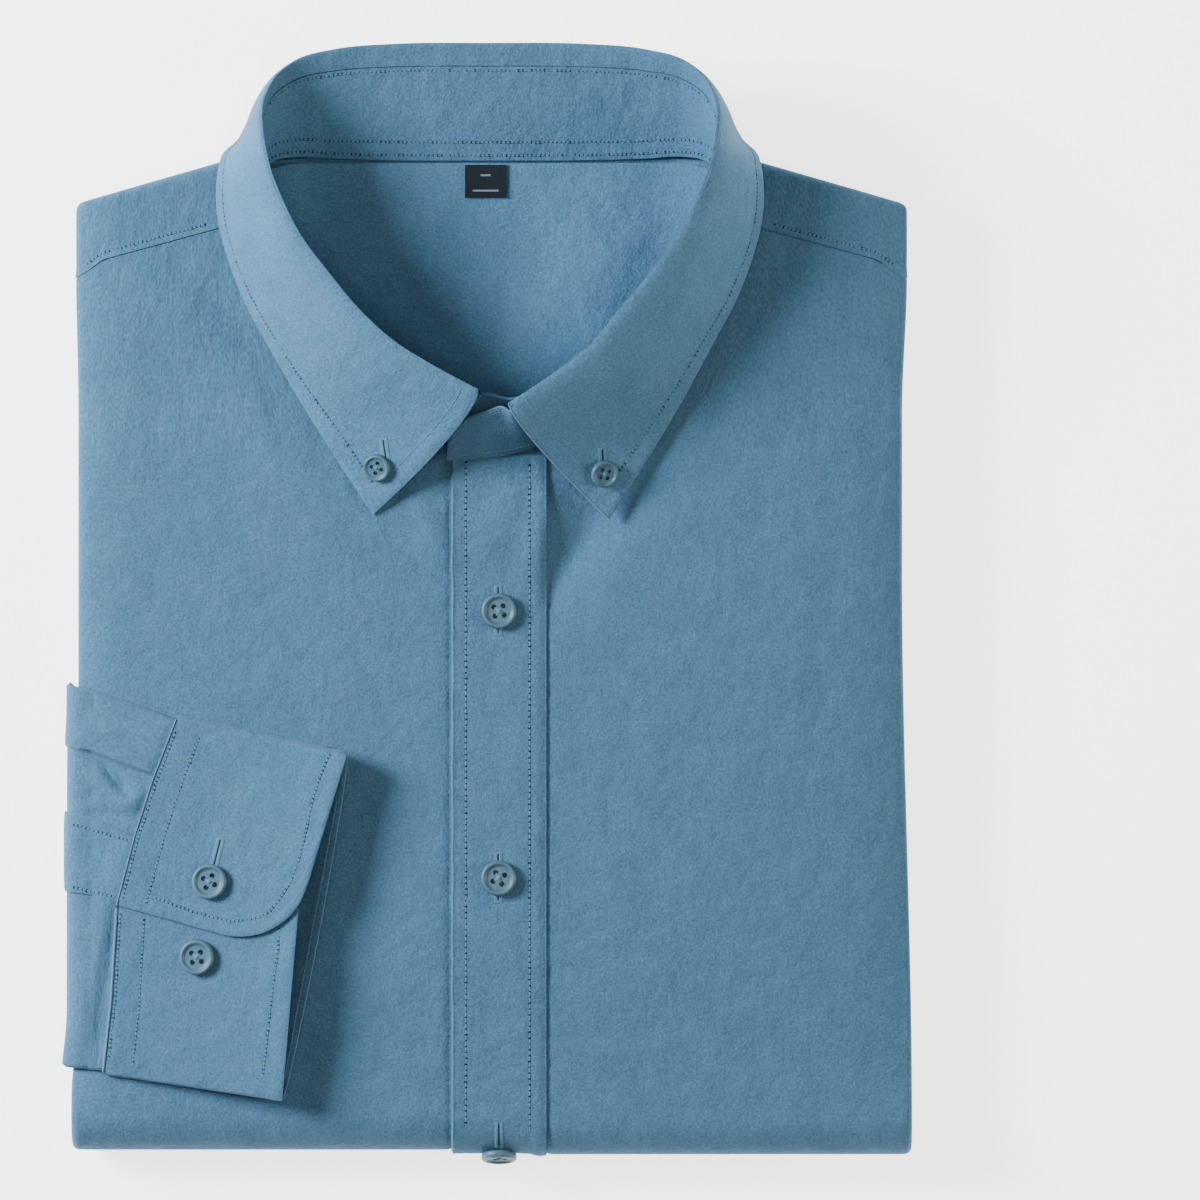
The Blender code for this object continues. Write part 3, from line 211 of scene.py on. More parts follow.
# Y and X of the seam between sleeve and cuff, then the sleeve's two sides: way out along the front, and Y.
SEAM = np.array(
    ((-151.8, -125.8), (-128.7, -123.2), (-97.5, -121.3), (-75.0, -115.4), (-57.0, -109.6), (-37.4, -102.0))
)
SLEEVE_TOP = np.array(((102.0, -37.4), (137.0, -25.4), (151.5, -31.0)))
SLEEVE_BOTTOM = np.array(((125.8, -151.8), (138.0, -150.2), (151.5, -149.0)))

LABEL_X, LABEL_Y, LABEL_THICK = (-8.2, 5.2), (132.3, 143.0), 0.5
LABEL_LINES, LABEL_MIDDLE_X = ((139.6, 1.6), (134.6, 4.2)), -1.5  # Y and half length

# Soft folds of the inside of the yoke, in the columns of RIDGES.
INNER_FOLDS = (
    (18.0, 96.0, 62.0, 34.0, 6.0, 0.5),
    (-14.0, 104.0, 96.0, 26.0, 8.0, 0.35),
    (34.0, 120.0, 40.0, 24.0, 5.0, -0.35),
    (-36.0, 126.0, 140.0, 22.0, 6.0, 0.35),
    (2.0, 84.0, 84.0, 16.0, 4.0, -0.3),
    (36.0, 106.0, 72.0, 36.0, 14.0, 1.8),
    (60.0, 104.0, 72.0, 40.0, 16.0, -1.1),
    (-32.0, 114.0, 96.0, 34.0, 15.0, 1.1),
    (3.0, 110.0, 82.0, 38.0, 18.0, -0.8),
)

# ---------------------------------------------------------------- sewing
LONG_PITCH, SHORT_PITCH = 1.9, 1.4  # from stitch to stitch, down the front and elsewhere
# NEEDLE_R is the radius of the dark dome that paints shade into each needle hole.
THREAD_SHARE, STITCH_R, NEEDLE_R = 0.6, 0.22, 0.48  # share of a pitch that shows thread, and radii
WANDER = 0.06, 0.04  # how unevenly stitches lie, on pieces and on the collar
# Radius of the pale turned edges on the collar and round the cuff, painted highlights where the edges catch
# the light.
EDGE_R, CUFF_EDGE_R = 0.28, {"mouth": 0.28, "top": 0.2, "under": 0.38}

# ---------------------------------------------------------------- looks
WARP, WEFT, FLECK = (0.034, 0.096, 0.165), (0.063, 0.167, 0.277), (0.12, 0.26, 0.38)
FLOOR_COLOUR, FLOOR_GLOW, FLOOR_HALF = (0.92, 0.92, 0.92), 2.6, 6.0
FILL, FILL_COLOUR = 0.205, (1.0, 0.94, 0.82)  # light from all round
# Lamps: place, target, size in metres, power, colour.
LAMPS = {
    "key": ((-1.18, 0.40, 0.735), (0.0, 0.0, 0.0), 0.58, 61.0, (0.97, 1.0, 1.05)),
    "side": ((1.5, -0.1, 0.55), (0.0, 0.0, 0.0), 0.6, 18.5, FILL_COLOUR),
    "top": ((0.0, 0.0, 2.4), (0.0, 0.0, 0.0), 1.0, 18.0, FILL_COLOUR),
}
CAMERA_PLACE, CAMERA_LENS, CAMERA_SENSOR, CAMERA_CLIP = (0.03575, 0.0013, 4.36), 400.0, 36.0, (0.1, 30.0)
# Plain finishes: colour, roughness, how far the grain varies, its scale, specular level.
FINISHES = {
    "horn": ((0.042, 0.1, 0.145), 0.42, 0.2, 400.0, 0.3),
    "thread": ((0.068, 0.158, 0.245), 0.8, 0.2, 2500.0, 0.2),
    # Pale thread, also laid along the turned edges as a painted highlight.
    "pale_thread_and_highlight": ((0.08, 0.18, 0.27), 0.7, 0.15, 2500.0, 0.2),
    # Near black: painted shade in needle holes and buttonhole slits.
    "needle_hole_shade": ((0.004, 0.018, 0.04), 0.95, 0.0, 900.0, 0.0),
    "label": ((0.004, 0.008, 0.014), 0.8, 0.3, 3000.0, 0.2),
    "label_thread": ((0.12, 0.16, 0.2), 0.8, 0.0, 900.0, 0.2),
}
# Painted light: a paler copy of the cloth brightens the collar and the inner yoke, which the lamps leave too
# dark.
PAINTED_LIGHT_GAIN = 1.16  # how much paler the cloth of the collar and the inner yoke is


# ---------------------------------------------------------------- small helpers
def smooth(t):
    """0 below 0, 1 above 1, and level at both ends."""
    t = np.clip(t, 0.0, 1.0)
    return t * t * (3.0 - 2.0 * t)


def mix(a, b, t):
    return a + (b - a) * t


def unit(v):
    return v / np.maximum(np.linalg.norm(v, axis=-1, keepdims=True), 1e-9)


def bell(distance, width):
    """1 at no distance, fading away over about width to both sides."""
    return np.exp(-((distance / width) ** 2))


def relief(distance, table):
    """Height of the grooves and beads in a table, which lie at distances from an edge."""
    return sum(high * bell(distance - at, width) for high, at, width in table)


def apart(grid, line):
    """How far each point of a grid lies from the point of a line in its row or column."""
    return np.linalg.norm(grid - line, axis=2)


def lengths_along(line, axis=0):
    """How far each point lies from the start, along a line or along every line of a grid."""
    steps = np.linalg.norm(np.diff(line, axis=axis), axis=-1)
    start = np.zeros_like(np.take(steps, [0], axis=axis))
    return np.concatenate([start, np.cumsum(steps, axis=axis)], axis=axis)


def between(where, lengths, values):
    """Values at places that lie between the rows of a table, which has a length for each row."""
    return np.stack([np.interp(where, lengths, column) for column in values.T], axis=-1)


def turns(count):
    """Angles evenly round a circle."""
    return np.arange(count) * 2 * math.pi / count


def square_to(direction):
    """Two directions square to one and to each other."""
    across = unit(np.cross(direction, (0.31, 0.5, 0.81)))
    return across, np.cross(direction, across)


def points(x, y, z):
    return np.stack(np.broadcast_arrays(x, y, z), axis=-1).astype(float)


def waves(t, seed, longest, count=5):
    """An uneven wave along t, about 1 high, from a few sines whose lengths start at longest."""
    local = np.random.default_rng(seed)
    total = np.zeros(np.shape(t))
    for k in range(count):
        length = longest / (1.0 + 0.7 * k) * local.uniform(0.85, 1.15)
        total = total + local.uniform(0.5, 1.0) * np.sin(2 * math.pi * t / length + local.uniform(0, 6.3))
    return total / math.sqrt(count)


# ---------------------------------------------------------------- the folded body's outer face
def half_width(x, y):
    """Distance from the middle to the side fold on the side where x lies."""
    right, left = (wide * smooth((start - y) / (start - end)) for wide, start, end in FLARE)
    on_right = np.asarray(x) < 0.0
    shoulder = np.where(on_right, *SHOULDER_FLARE) * smooth((y - FLARE_FROM_Y) / FLARE_RUN)
    return HALF_WIDTH + np.where(on_right, right, left) + shoulder


def in_neck(x):
    return 1.0 - smooth((np.abs(x) - NECK_HALF) / NECK_FADE)


def shoulder_y(x):
    """Where the fold over the shoulder has its middle."""
    sloped = SHOULDER_Y + SHOULDER_SLOPE * (SHOULDER_X - np.abs(x))
    return mix(np.minimum(sloped, SHOULDER_TOP_Y), NECK_END_Y, in_neck(x))


def yoke_seam_y(x):
    bend = YOKE_SEAM_BEND * np.maximum(np.abs(x) - YOKE_SEAM_BEND_X, 0.0)
    return YOKE_SEAM_Y - YOKE_SEAM_SLOPE * (np.abs(x) - YOKE_SEAM_X) - bend


def soft_folds(x, y, table):
    """Height of the soft ridges and troughs in a table."""
    height = 0.0
    for middle_x, middle_y, heading, half_length, half_wide, high in table:
        c, s = math.cos(math.radians(heading)), math.sin(math.radians(heading))
        lengthwise = ((x - middle_x) * c + (y - middle_y) * s) / half_length
        sideways = ((y - middle_y) * c - (x - middle_x) * s) / half_wide
        height = height + high * np.exp(-(lengthwise**2) - sideways**2)
    return height


def rounding(x, y):
    """How much lower the front lies near its sides, where it rounds off."""
    drop, soft = np.where(x < 0.0, *EDGE_DROP), np.where(x < 0.0, *EDGE_SOFT)
    edge = drop * np.exp(-np.maximum(half_width(x, y) - np.abs(x), 0.0) / soft)
    return edge * smooth((y - TURN_Y) / EDGE_FADE)


def rise(x, y):
    """How much higher the front lies here than a flat one would."""
    across = 1.0 - np.minimum(np.abs(x) / half_width(x, y), 1.0) ** 2
    along = smooth((y - TURN_Y) / CROWN_FADE)
    height = CROWN * across * (1.0 - CROWN_LOSS * smooth((y - CROWN_LOSS_Y) / CROWN_FADE))
    folds = soft_folds(x, y, RIDGES) + soft_folds(x, y, CREASES)
    return (height + folds * smooth(across * 3.0)) * along - rounding(x, y)


def plan_x(side):
    """X of a place along the section, which runs round the side fold."""
    away = np.abs(side)
    return np.sign(side) * np.clip(np.minimum(away, 2 * FLAT + FOLD_LENGTH - away), 0.0, HALF_WIDTH)


def no_drop(x, p):
    return 0.0


def neck_drop(x, p):
    """How much lower the yoke folds over behind the neck than over the shoulders."""
    return NECK_DROP * in_neck(x)


def pressed(angle):
    """Sine and cosine round a fold, as on a circle that is pressed towards a square."""
    s, c = np.sin(angle), np.cos(angle)
    grow = (np.abs(s) ** PRESS + np.abs(c) ** PRESS) ** (-1.0 / PRESS)
    return s * grow, c * grow


def body_point(side, p, lift, drop=no_drop, closing=False):
    """Points of the body's outer face, lifted off it by lift, in millimetres.

    side runs along the section from the middle, round the side fold and back underneath. p is Y on
    the front, more than that over the shoulder, and less round the bottom fold and underneath.
    """
    side, p, lift = np.broadcast_arrays(np.asarray(side, float), np.asarray(p, float), lift)
    over = plan_x(side)
    end = shoulder_y(over)
    past = np.maximum(p - end, 0.0)
    turned = np.clip(TURN_Y - p, 0.0, TURN_LENGTH) / TURN_R
    below = np.clip(TURN_Y - TURN_LENGTH - p, 0.0, TAIL_Y - TURN_Y)
    past_tail = np.clip(TAIL_P - p, 0.0, FOLD_LENGTH)
    y = np.minimum(np.maximum(p, TURN_Y), end) - TURN_R * np.sin(turned) + below
    y = y - np.maximum(past - FOLD_LENGTH, 0.0)
    z = AXIS_Z + TURN_R * np.cos(turned)
    end_turn = (np.clip(past, 0.0, FOLD_LENGTH) + past_tail) / BUNDLE
    in_turn = (turned > 0.0) & (turned < math.pi)
    end_reach, end_up = pressed(end_turn)
    reach = np.where(in_turn, -np.sin(turned), end_reach)
    up = np.where(in_turn, np.cos(turned), end_up * np.where(turned > 0.0, -1.0, 1.0))
    flat = half_width(side, y) - BUNDLE
    angle = np.clip((np.abs(side) - flat) / BUNDLE, 0.0, math.pi)
    back = np.maximum(np.abs(side) - flat - FOLD_LENGTH, 0.0)
    out, section_up = pressed(angle)
    x = np.minimum(np.abs(side), flat) + (BUNDLE + lift) * out - back
    more = (rise(over, np.minimum(p, end)) - drop(over, p)) * (turned <= 0.0)
    n = (BUNDLE + more / 2 + lift) * section_up
    outward = n + rounding(over, np.minimum(p, end)) / 2 * (turned <= 0.0) * section_up
    outward = np.where(in_turn, outward, np.abs(outward)) if closing else outward
    y = y + outward * reach
    sag = SAG * smooth((np.sign(side) * x - SAG_FROM) / SAG_FADE) * smooth((TURN_Y + SAG_UP - y) / SAG_UP)
    return points(np.sign(side) * x, y - sag, z + more / 2 + n * up)


def front_z(x, y):
    """Height of the front's outer face over a point of the plan."""
    over = np.clip(np.abs(x) - (half_width(x, y) - BUNDLE), 0.0, BUNDLE)
    more = rise(x, y)
    half = BUNDLE + more / 2
    return UPPER_Z + more / 2 + half * (1.0 - (over / BUNDLE) ** PRESS) ** (1.0 / PRESS)


def inner_fade(x, y):
    return (1.0 - smooth((np.abs(x) - DISH_X) / DISH_FADE_X)) * smooth((y - INNER_LOW_Y) / DISH_FADE_Y)


def inner_yoke_z(x, y):
    """Height of the inside of the yoke with its folds, which shows through the neck."""
    fade = inner_fade(x, y)
    plain_z = front_z(x, np.minimum(y, shoulder_y(x))) - UNDER - DISH * fade
    return plain_z + soft_folds(x, y, INNER_FOLDS) * fade


def lower_p(y):
    """The place along the ribbon of a point of the underside."""
    return TURN_Y - TURN_LENGTH - (y - TURN_Y)


# ---------------------------------------------------------------- meshes
def grid_uv(grid):
    """Lengths along both directions of a grid of points, in metres: the cloth's own coordinates."""
    across, down = (np.linalg.norm(np.diff(grid, axis=axis), axis=2) for axis in (1, 0))
    lengths = [[0.0, *np.cumsum(steps)] for steps in (across.mean(axis=0), down.mean(axis=1))]
    return np.stack(np.meshgrid(*lengths), axis=-1) * MM


def placed(name, data):
    """A new object in the scene."""
    thing = bpy.data.objects.new(name, data)
    bpy.context.scene.collection.objects.link(thing)
    return thing


def ring_faces(count, around):
    """Faces of a closed body made of rings of vertices: its two ends, and the sides between."""
    faces = [tuple(range(around)), tuple(range((count - 1) * around, count * around))]
    for i in range(count - 1):
        for j in range(around):
            k = (j + 1) % around
            faces.append((i * around + j, i * around + k, (i + 1) * around + k, (i + 1) * around + j))
    return faces


def new_piece(name, vertices, faces, uv, material):
    """A mesh object in metres that rides on the shirt. Vertices that fall together are merged."""
    mesh = bpy.data.meshes.new(name)
    mesh.from_pydata((np.asarray(vertices) * MM).tolist(), [], faces)
    if uv is not None:
        layer = mesh.uv_layers.new(name="cloth")
        corner = np.zeros(len(mesh.loops), int)
        mesh.loops.foreach_get("vertex_index", corner)
        layer.data.foreach_set("uv", uv[corner].astype(np.float32).ravel())
    mesh.materials.append(material)
    work = bmesh.new()
    work.from_mesh(mesh)
    bmesh.ops.remove_doubles(work, verts=work.verts, dist=0.001 * MM)
    bmesh.ops.recalc_face_normals(work, faces=work.faces)
    work.to_mesh(mesh)
    work.free()
    mesh.shade_smooth()
    mesh.set_sharp_from_angle(angle=math.radians(55.0))
    thing = placed(name, mesh)
    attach(thing, "root")
    return thing


def wall(name, outer, inner, material, slot="chambray", keep=None, closed=False):
    """A thin closed shell between two grids of points. closed joins the last column to the first."""
    rows, columns = outer.shape[:2]
    cells = columns if closed else columns - 1
    keep = np.ones((rows - 1, cells), bool) if keep is None else keep
    number = np.arange(rows * columns).reshape(rows, columns)
    below = rows * columns
    faces = []
    for i, j in zip(*np.nonzero(keep)):
        k = (j + 1) % columns
        a, b, c, d = number[i, j], number[i, k], number[i + 1, k], number[i + 1, j]
        faces += [(a, b, c, d), (d + below, c + below, b + below, a + below)]
        for ni, nj, first, second in ((i - 1, j, b, a), (i + 1, j, d, c), (i, j - 1, a, d), (i, j + 1, c, b)):
            if closed:
                nj = nj % cells
            if 0 <= ni < rows - 1 and 0 <= nj < cells and keep[ni, nj]:
                continue
            faces.append((first, second, second + below, first + below))
    used = np.unique(np.array(faces))
    place = np.full(2 * below, -1)
    place[used] = np.arange(len(used))
    vertices = np.concatenate([outer.reshape(-1, 3), inner.reshape(-1, 3)])[used]
    uv = np.concatenate([grid_uv(outer).reshape(-1, 2)] * 2)[used]
    thing = new_piece(name, vertices, [tuple(place[list(f)]) for f in faces], uv, material)
    return thing


def normals(grid):
    down = np.gradient(grid, axis=0)
    across = np.gradient(grid, axis=1)
    return unit(np.cross(across, down))


def tree_of(thing):
    """Finds points on a piece, in millimetres."""
    vertices = [v.co / MM for v in thing.data.vertices]
    return BVHTree.FromPolygons(vertices, [tuple(p.vertices) for p in thing.data.polygons])


def drop_on(tree, x, y):
    """Where a line straight down at X, Y meets a piece, and the normal there."""
    place, normal, _, _ = tree.ray_cast((x, y, 400.0), (0.0, 0.0, -1.0))
    return (None, None) if place is None else (np.array(place), np.array(normal))


# ---------------------------------------------------------------- fronts, placket and yoke
def stations(*spans):
    """Places from a list of spans: start, end, steps. Ends that meet are kept once."""
    made = [np.linspace(start, end, steps + 1) for start, end, steps in spans]
    return np.concatenate([made[0], *[part[1:] for part in made[1:]]])


def front_groove(sign, side, p):
    """The pulled-in cloth beside the placket, with small uneven puckers along its seam."""
    if sign > 0:
        away = side - PLACKET_X[1]
        trough = 0.15 * bell(away, 1.1)
        pucker = 0.2 * waves(p, 3, 17.0, 6) * np.exp(-np.maximum(away, 0.0) / 4.5) * (away > -0.5)
    else:
        away = side + PLACKET_X[0]
        trough = 0.35 * bell(away, 1.2) * (away > 0.0)
        pucker = 0.05 * waves(p, 4, 23.0, 5) * np.exp(-np.abs(away) / 4.0)
    return -trough + pucker


def round_side(steps):
    """Places of columns round the side fold, and a little way back underneath."""
    turned = FLAT + np.linspace(0, FOLD_LENGTH, steps)[1:]
    return np.concatenate([turned, FLAT + FOLD_LENGTH + np.linspace(0, RETURN, 4)[1:]])


def front_panel(name, sign, material):
    """One front: out to the side fold and round it, and from the neck down, underneath and to the tail."""
    if sign > 0:
        inside = stations((FRONTS_MEET_X + GAP / 2, 22.0, 14), (22.0, FLAT, 44))
    else:
        inside = stations((-FRONTS_MEET_X + GAP / 2, 10.0, 10), (10.0, 18.0, 14), (18.0, FLAT, 44))
    spread = np.concatenate([inside, round_side(19)])
    away = np.abs(spread)
    at_yoke = yoke_seam_y(np.minimum(spread, HALF_WIDTH)) - GAP / 2
    top = np.where(away <= NECKLINE_X[-1], np.interp(away, NECKLINE_X, NECKLINE_Y), at_yoke)
    rows = [mix(PLACKET_TOP_Y, top, share) for share in np.linspace(1.0, 0.0, 22)[:-1]]
    places = stations((PLACKET_TOP_Y, TURN_Y, 88), (TURN_Y, TURN_Y - TURN_LENGTH, 26))
    under = lower_p(np.linspace(TURN_Y, TAIL_Y - 0.6, 24)[1:])
    tail = TAIL_P - BUNDLE * np.linspace(0.0, math.pi / 2, 8)
    rows += [np.full(spread.shape, p) for p in (*places, *under, *tail)]
    p = np.array(rows)
    y = np.where(p > TURN_Y, p, np.clip(TURN_Y + TURN_Y - TURN_LENGTH - p, TURN_Y, TAIL_Y))
    side = sign * (spread + (half_width(sign, y) - HALF_WIDTH) * (spread >= FLAT))
    keep = np.ones((len(rows) - 1, len(spread) - 1), bool)
    keep[-len(tail) :, len(inside) + 8 :] = False
    groove = front_groove(sign, spread, p) * (y < 70.0)
    outer = body_point(side, p, groove * smooth((p - TAIL_P) / 20.0) * (p > lower_p(TURN_Y + 2.0)))
    inner = body_point(side, p, -CLOTH - 0.35 * (np.abs(groove) > 0.3))
    thing = wall(name, outer, inner, material, keep=keep)
    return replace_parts(thing, name.replace("_cloth", ""))


def placket(material):
    """The strip down the front: a raised fold at its edge towards -X, and a sewn edge at the other."""
    first, last = PLACKET_X[0] + 1.2, PLACKET_X[1] - 1.0
    side = stations((PLACKET_X[0], first, 6), (first, last, 28), (last, PLACKET_X[1], 4))
    p = stations((PLACKET_TOP_Y - 0.3, TURN_Y, 130), (TURN_Y, TURN_Y - PLACKET_END * TURN_R, 24))
    side, p = np.meshgrid(side, p)
    from_fold, from_sewn = side - PLACKET_X[0], PLACKET_X[1] - side
    rows = from_fold - PLACKET_GROOVE[0], from_sewn - PLACKET_GROOVE[1]
    fold = np.interp(from_fold, *PLACKET_BEAD) - 0.55 * smooth(1.0 - from_sewn / 2.6)
    fold = fold + soft_folds(side, p, PLACKET_FOLDS)
    grooves = -0.14 * bell(rows[0], 0.8) - 0.16 * bell(rows[1], 0.8)
    ripple = 0.08 * waves(p + side * 0.8, 11, 27.0) * smooth(from_fold / 4.0)
    pulled = bell(rows[0], 2.2) + bell(rows[1], 2.2)
    ripple = ripple + 0.07 * waves(p + side * 0.6, 12, 9.0) * pulled
    lift = GAP + PLACKET_THICK + fold + grooves + ripple
    uneven = 0.12 * waves(p, 5, 60.0) * (1 - smooth(from_fold / 6.0))
    outer = body_point(side + uneven, p, lift)
    thing = wall("placket_cloth", outer, body_point(side, p, GAP), material)
    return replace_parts(thing, "front_placket")


def yoke_outer(material):
    """The yoke: over both shoulders and round behind the neck."""
    last = FLAT - RETURN - 0.6
    corner = np.linspace(last, FLAT, 7)[1:]
    top = stations((2.0, 60.0, 22), (60.0, 80.0, 16), (80.0, last, 20))
    half = np.concatenate([top, corner, round_side(17)])
    side = np.concatenate([-half[::-1], [0.0], half])
    x = plan_x(side)
    end = shoulder_y(x)
    seam = yoke_seam_y(x) + GAP / 2
    start = np.maximum(end + np.interp(np.abs(x), YOKE_NECK_X, YOKE_NECK_PAST), seam)
    rows = [mix(seam, end - 0.6, t) for t in np.linspace(0.0, 1.0, 11)]
    rows += [end + a * BUNDLE for a in np.linspace(0.0, math.pi, 17)]
    rows += [end + FOLD_LENGTH + RETURN * t for t in (0.4, 0.7, 1.0)]
    p = np.array([np.maximum(row, start + 0.02 * k) for k, row in enumerate(rows)])
    keep = np.ones((len(rows) - 1, len(side) - 1), bool)
    for first_row, columns in ((10, 3 + 8), (-3, 3 + 16 + len(corner))):
        keep[first_row:, :columns] = False
        keep[first_row:, -columns:] = False
    ledge = relief(p - seam, YOKE_RELIEF) * (np.abs(x) > 78.0)
    outer = body_point(side, p, ledge, drop=neck_drop)
    thing = wall("yoke_cloth", outer, body_point(side, p, -CLOTH, drop=neck_drop), material, keep=keep)
    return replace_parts(thing, "yoke_outer")


def yoke_inner(material):
    """The inside of the yoke, lying in the neck, with soft folds where the fronts close on it."""
    x = np.linspace(-INNER_HALF_X, INNER_HALF_X, 85)
    high = mix(np.minimum(shoulder_y(x) - 1.0, INNER_HIGH_Y), INNER_HIGH_Y, in_neck(x))
    y = np.array([mix(INNER_LOW_Y, high, t) for t in np.linspace(0.0, 1.0, 56)])
    x = np.broadcast_to(x, y.shape)
    z = inner_yoke_z(x, y)
    thing = wall("yoke_lining", points(x, y, z), points(x, y, z - CLOTH), material)
    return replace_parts(thing, "yoke_inner")


def neck_label(material, thread):
    """A plain woven label: dark, with two woven lines and no words."""
    x, y = np.meshgrid(np.linspace(*LABEL_X, 15), np.linspace(*LABEL_Y, 13))
    z = inner_yoke_z(x, y) + GAP
    thing = wall("label_cloth", points(x, y, z + LABEL_THICK), points(x, y, z), material, slot="label")
    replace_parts(thing, "neck_label")
    for number, (middle, half) in enumerate(LABEL_LINES):
        x = np.linspace(LABEL_MIDDLE_X - half, LABEL_MIDDLE_X + half, 12)
        x, y = np.meshgrid(x, np.linspace(middle - 0.3, middle + 0.3, 3))
        z = inner_yoke_z(x, y) + GAP + 0.62
        bar = wall(f"label_line_{number}", points(x, y, z), points(x, y, z - 0.1), thread)


# ---------------------------------------------------------------- hidden layers
def core_half(flat, sleeves, edge):
    """Half a section of the hidden layers: places along the section, and lifts."""
    under = flat + FOLD_LENGTH
    slot = RETURN + 0.3
    high, low = (GAP, SLEEVE_ROOM / 2 - GAP) if sleeves else (-UNDER, -UNDER)
    turned = flat + np.linspace(0.0, FOLD_LENGTH, 13)
    round_edge = under + (edge + 1.2 * (1.0 - np.sin(np.linspace(0.0, math.pi, 7))))
    outside = np.concatenate([np.linspace(0.0, 120.0, 31), turned, [under + slot]])
    side = np.concatenate([outside, [under + slot + 0.02], round_edge, under + np.linspace(40.0, flat, 5)])
    lift = np.concatenate([np.full(len(outside), -UNDER), [high], np.linspace(high, low, 7), [low] * 5])
    return side, lift


def core_ring(kind, value, sleeves, spread):
    """One closed section. spread is how far out the folded sleeves reach, from 0 to 1."""
    y = value if kind in ("front", "lower") else TURN_Y if kind == "turn" else TAIL_Y
    halves = []
    for name, sign in (("left", 1.0), ("right", -1.0)):
        flat = float(half_width(sign, y)) - BUNDLE
        reach = {"right": 10.0, "left": mix(RETURN + 0.6, 0.5, spread)}[name]
        side, lift = core_half(flat, sleeves, reach if sleeves else RETURN + 0.36)
        halves.append((sign * side, lift))
    (side, lift), (other, other_lift) = halves
    side = np.concatenate([side, other[-2:0:-1]])
    lift = np.concatenate([lift, other_lift[-2:0:-1]])
    p = {
        "front": value, "shoulder": shoulder_y(plan_x(side)) + value,
        "turn": TURN_Y - TURN_R * value, "lower": lower_p(value), "tail": TAIL_P - value,
    }[kind]
    return body_point(side, p, lift, drop=core_drop, closing=True)


def core_drop(x, p):
    """How much deeper the hidden layers lie under the inside of the yoke than under a front."""
    across = 1.0 - smooth((np.abs(x) - INNER_HALF_X - 1.0) / 7.0)
    along = smooth((p - INNER_LOW_Y + 13.0) / 12.0)
    return (UNDER + INNER_ROOM + DISH * inner_fade(x, p)) * across * along


def hidden_layers(material):
    """The layers that don't show but at their edges: one soft ribbon with the sleeves inside."""
    step = RETURN + 0.5
    rings = [("shoulder", BUNDLE * math.radians(a), 0, 0) for a in (60, 45, 30, 15, 0)]
    rings += [("shoulder", -step + 0.1, 0, 0), ("shoulder", -step, 1, 0), ("shoulder", -18.0, 1, 1)]
    rings += [("front", y, 1, 1) for y in np.linspace(110.0, -160.0, 46)]
    rings += [("turn", angle, 1, 1) for angle in np.radians(np.linspace(0, 180, 19))]
    rings += [("lower", y, 1, 1) for y in np.linspace(-160.0, 100.0, 20)]
    rings += [("lower", TAIL_Y - step, 1, 0), ("lower", TAIL_Y - step + 0.1, 0, 0)]
    rings += [("tail", BUNDLE * math.radians(a), 0, 0) for a in (0, 15, 30, 45, 60)]
    loops = np.array([core_ring(*ring) for ring in rings])
    uv = loops[:, :, :2].reshape(-1, 2) * MM
    thing = new_piece("hidden_layers", loops.reshape(-1, 3), ring_faces(*loops.shape[:2]), uv, material)
    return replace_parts(thing, "folded_layers")


# ---------------------------------------------------------------- collar
def collar_rows():
    """Every section of the collar, from the front on the wearer's right round to the left."""
    mirror = np.array((-1, 1, 1, -1, 1, 1, -1, 1, 1, 1, 1))
    right = np.array((*COLLAR_HALF, *COLLAR_FRONT["right"])) * mirror
    left = np.array((*COLLAR_HALF[1:], *COLLAR_FRONT["left"]))
    return np.concatenate([right[::-1], left])


def rounded(rows, guide):
    """A smooth curve through rows that lie unevenly along a guide of points."""
    place = np.concatenate([[0.0], np.cumsum(np.linalg.norm(np.diff(guide, axis=0), axis=1) ** 0.8)])
    slope = np.gradient(rows, place, axis=0)
    made = []
    for i in range(len(rows) - 1):
        wide = place[i + 1] - place[i]
        steps = max(2, int(round(wide / COLLAR_STEP)))
        for t in np.arange(steps) / steps:
            start, end = (2 * t**3 - 3 * t**2 + 1), (3 * t**2 - 2 * t**3)
            leave, arrive = (t**3 - 2 * t**2 + t), (t**3 - t**2)
            bend = wide * (leave * slope[i] + arrive * slope[i + 1])
            made.append(start * rows[i] + end * rows[i + 1] + bend)
    return np.array([*made, rows[-1]])


def collar_sections():
    rows = collar_rows()
    fine = rounded(rows, (rows[:, 3:6] + rows[:, 6:9]) / 2)
    return {name: fine[:, columns] for name, columns in COLLAR_COLUMNS.items()}


def away_from_neck(seen):
    """Normals of the face that the neck has, turned outwards."""
    away = normals(seen)
    return away * np.sign(np.sum(away[0] * (seen[0] - NECK_MIDDLE)))


def band_grid(foot, top):
    return np.array([mix(foot, top, share) for share in BAND_SHARES])


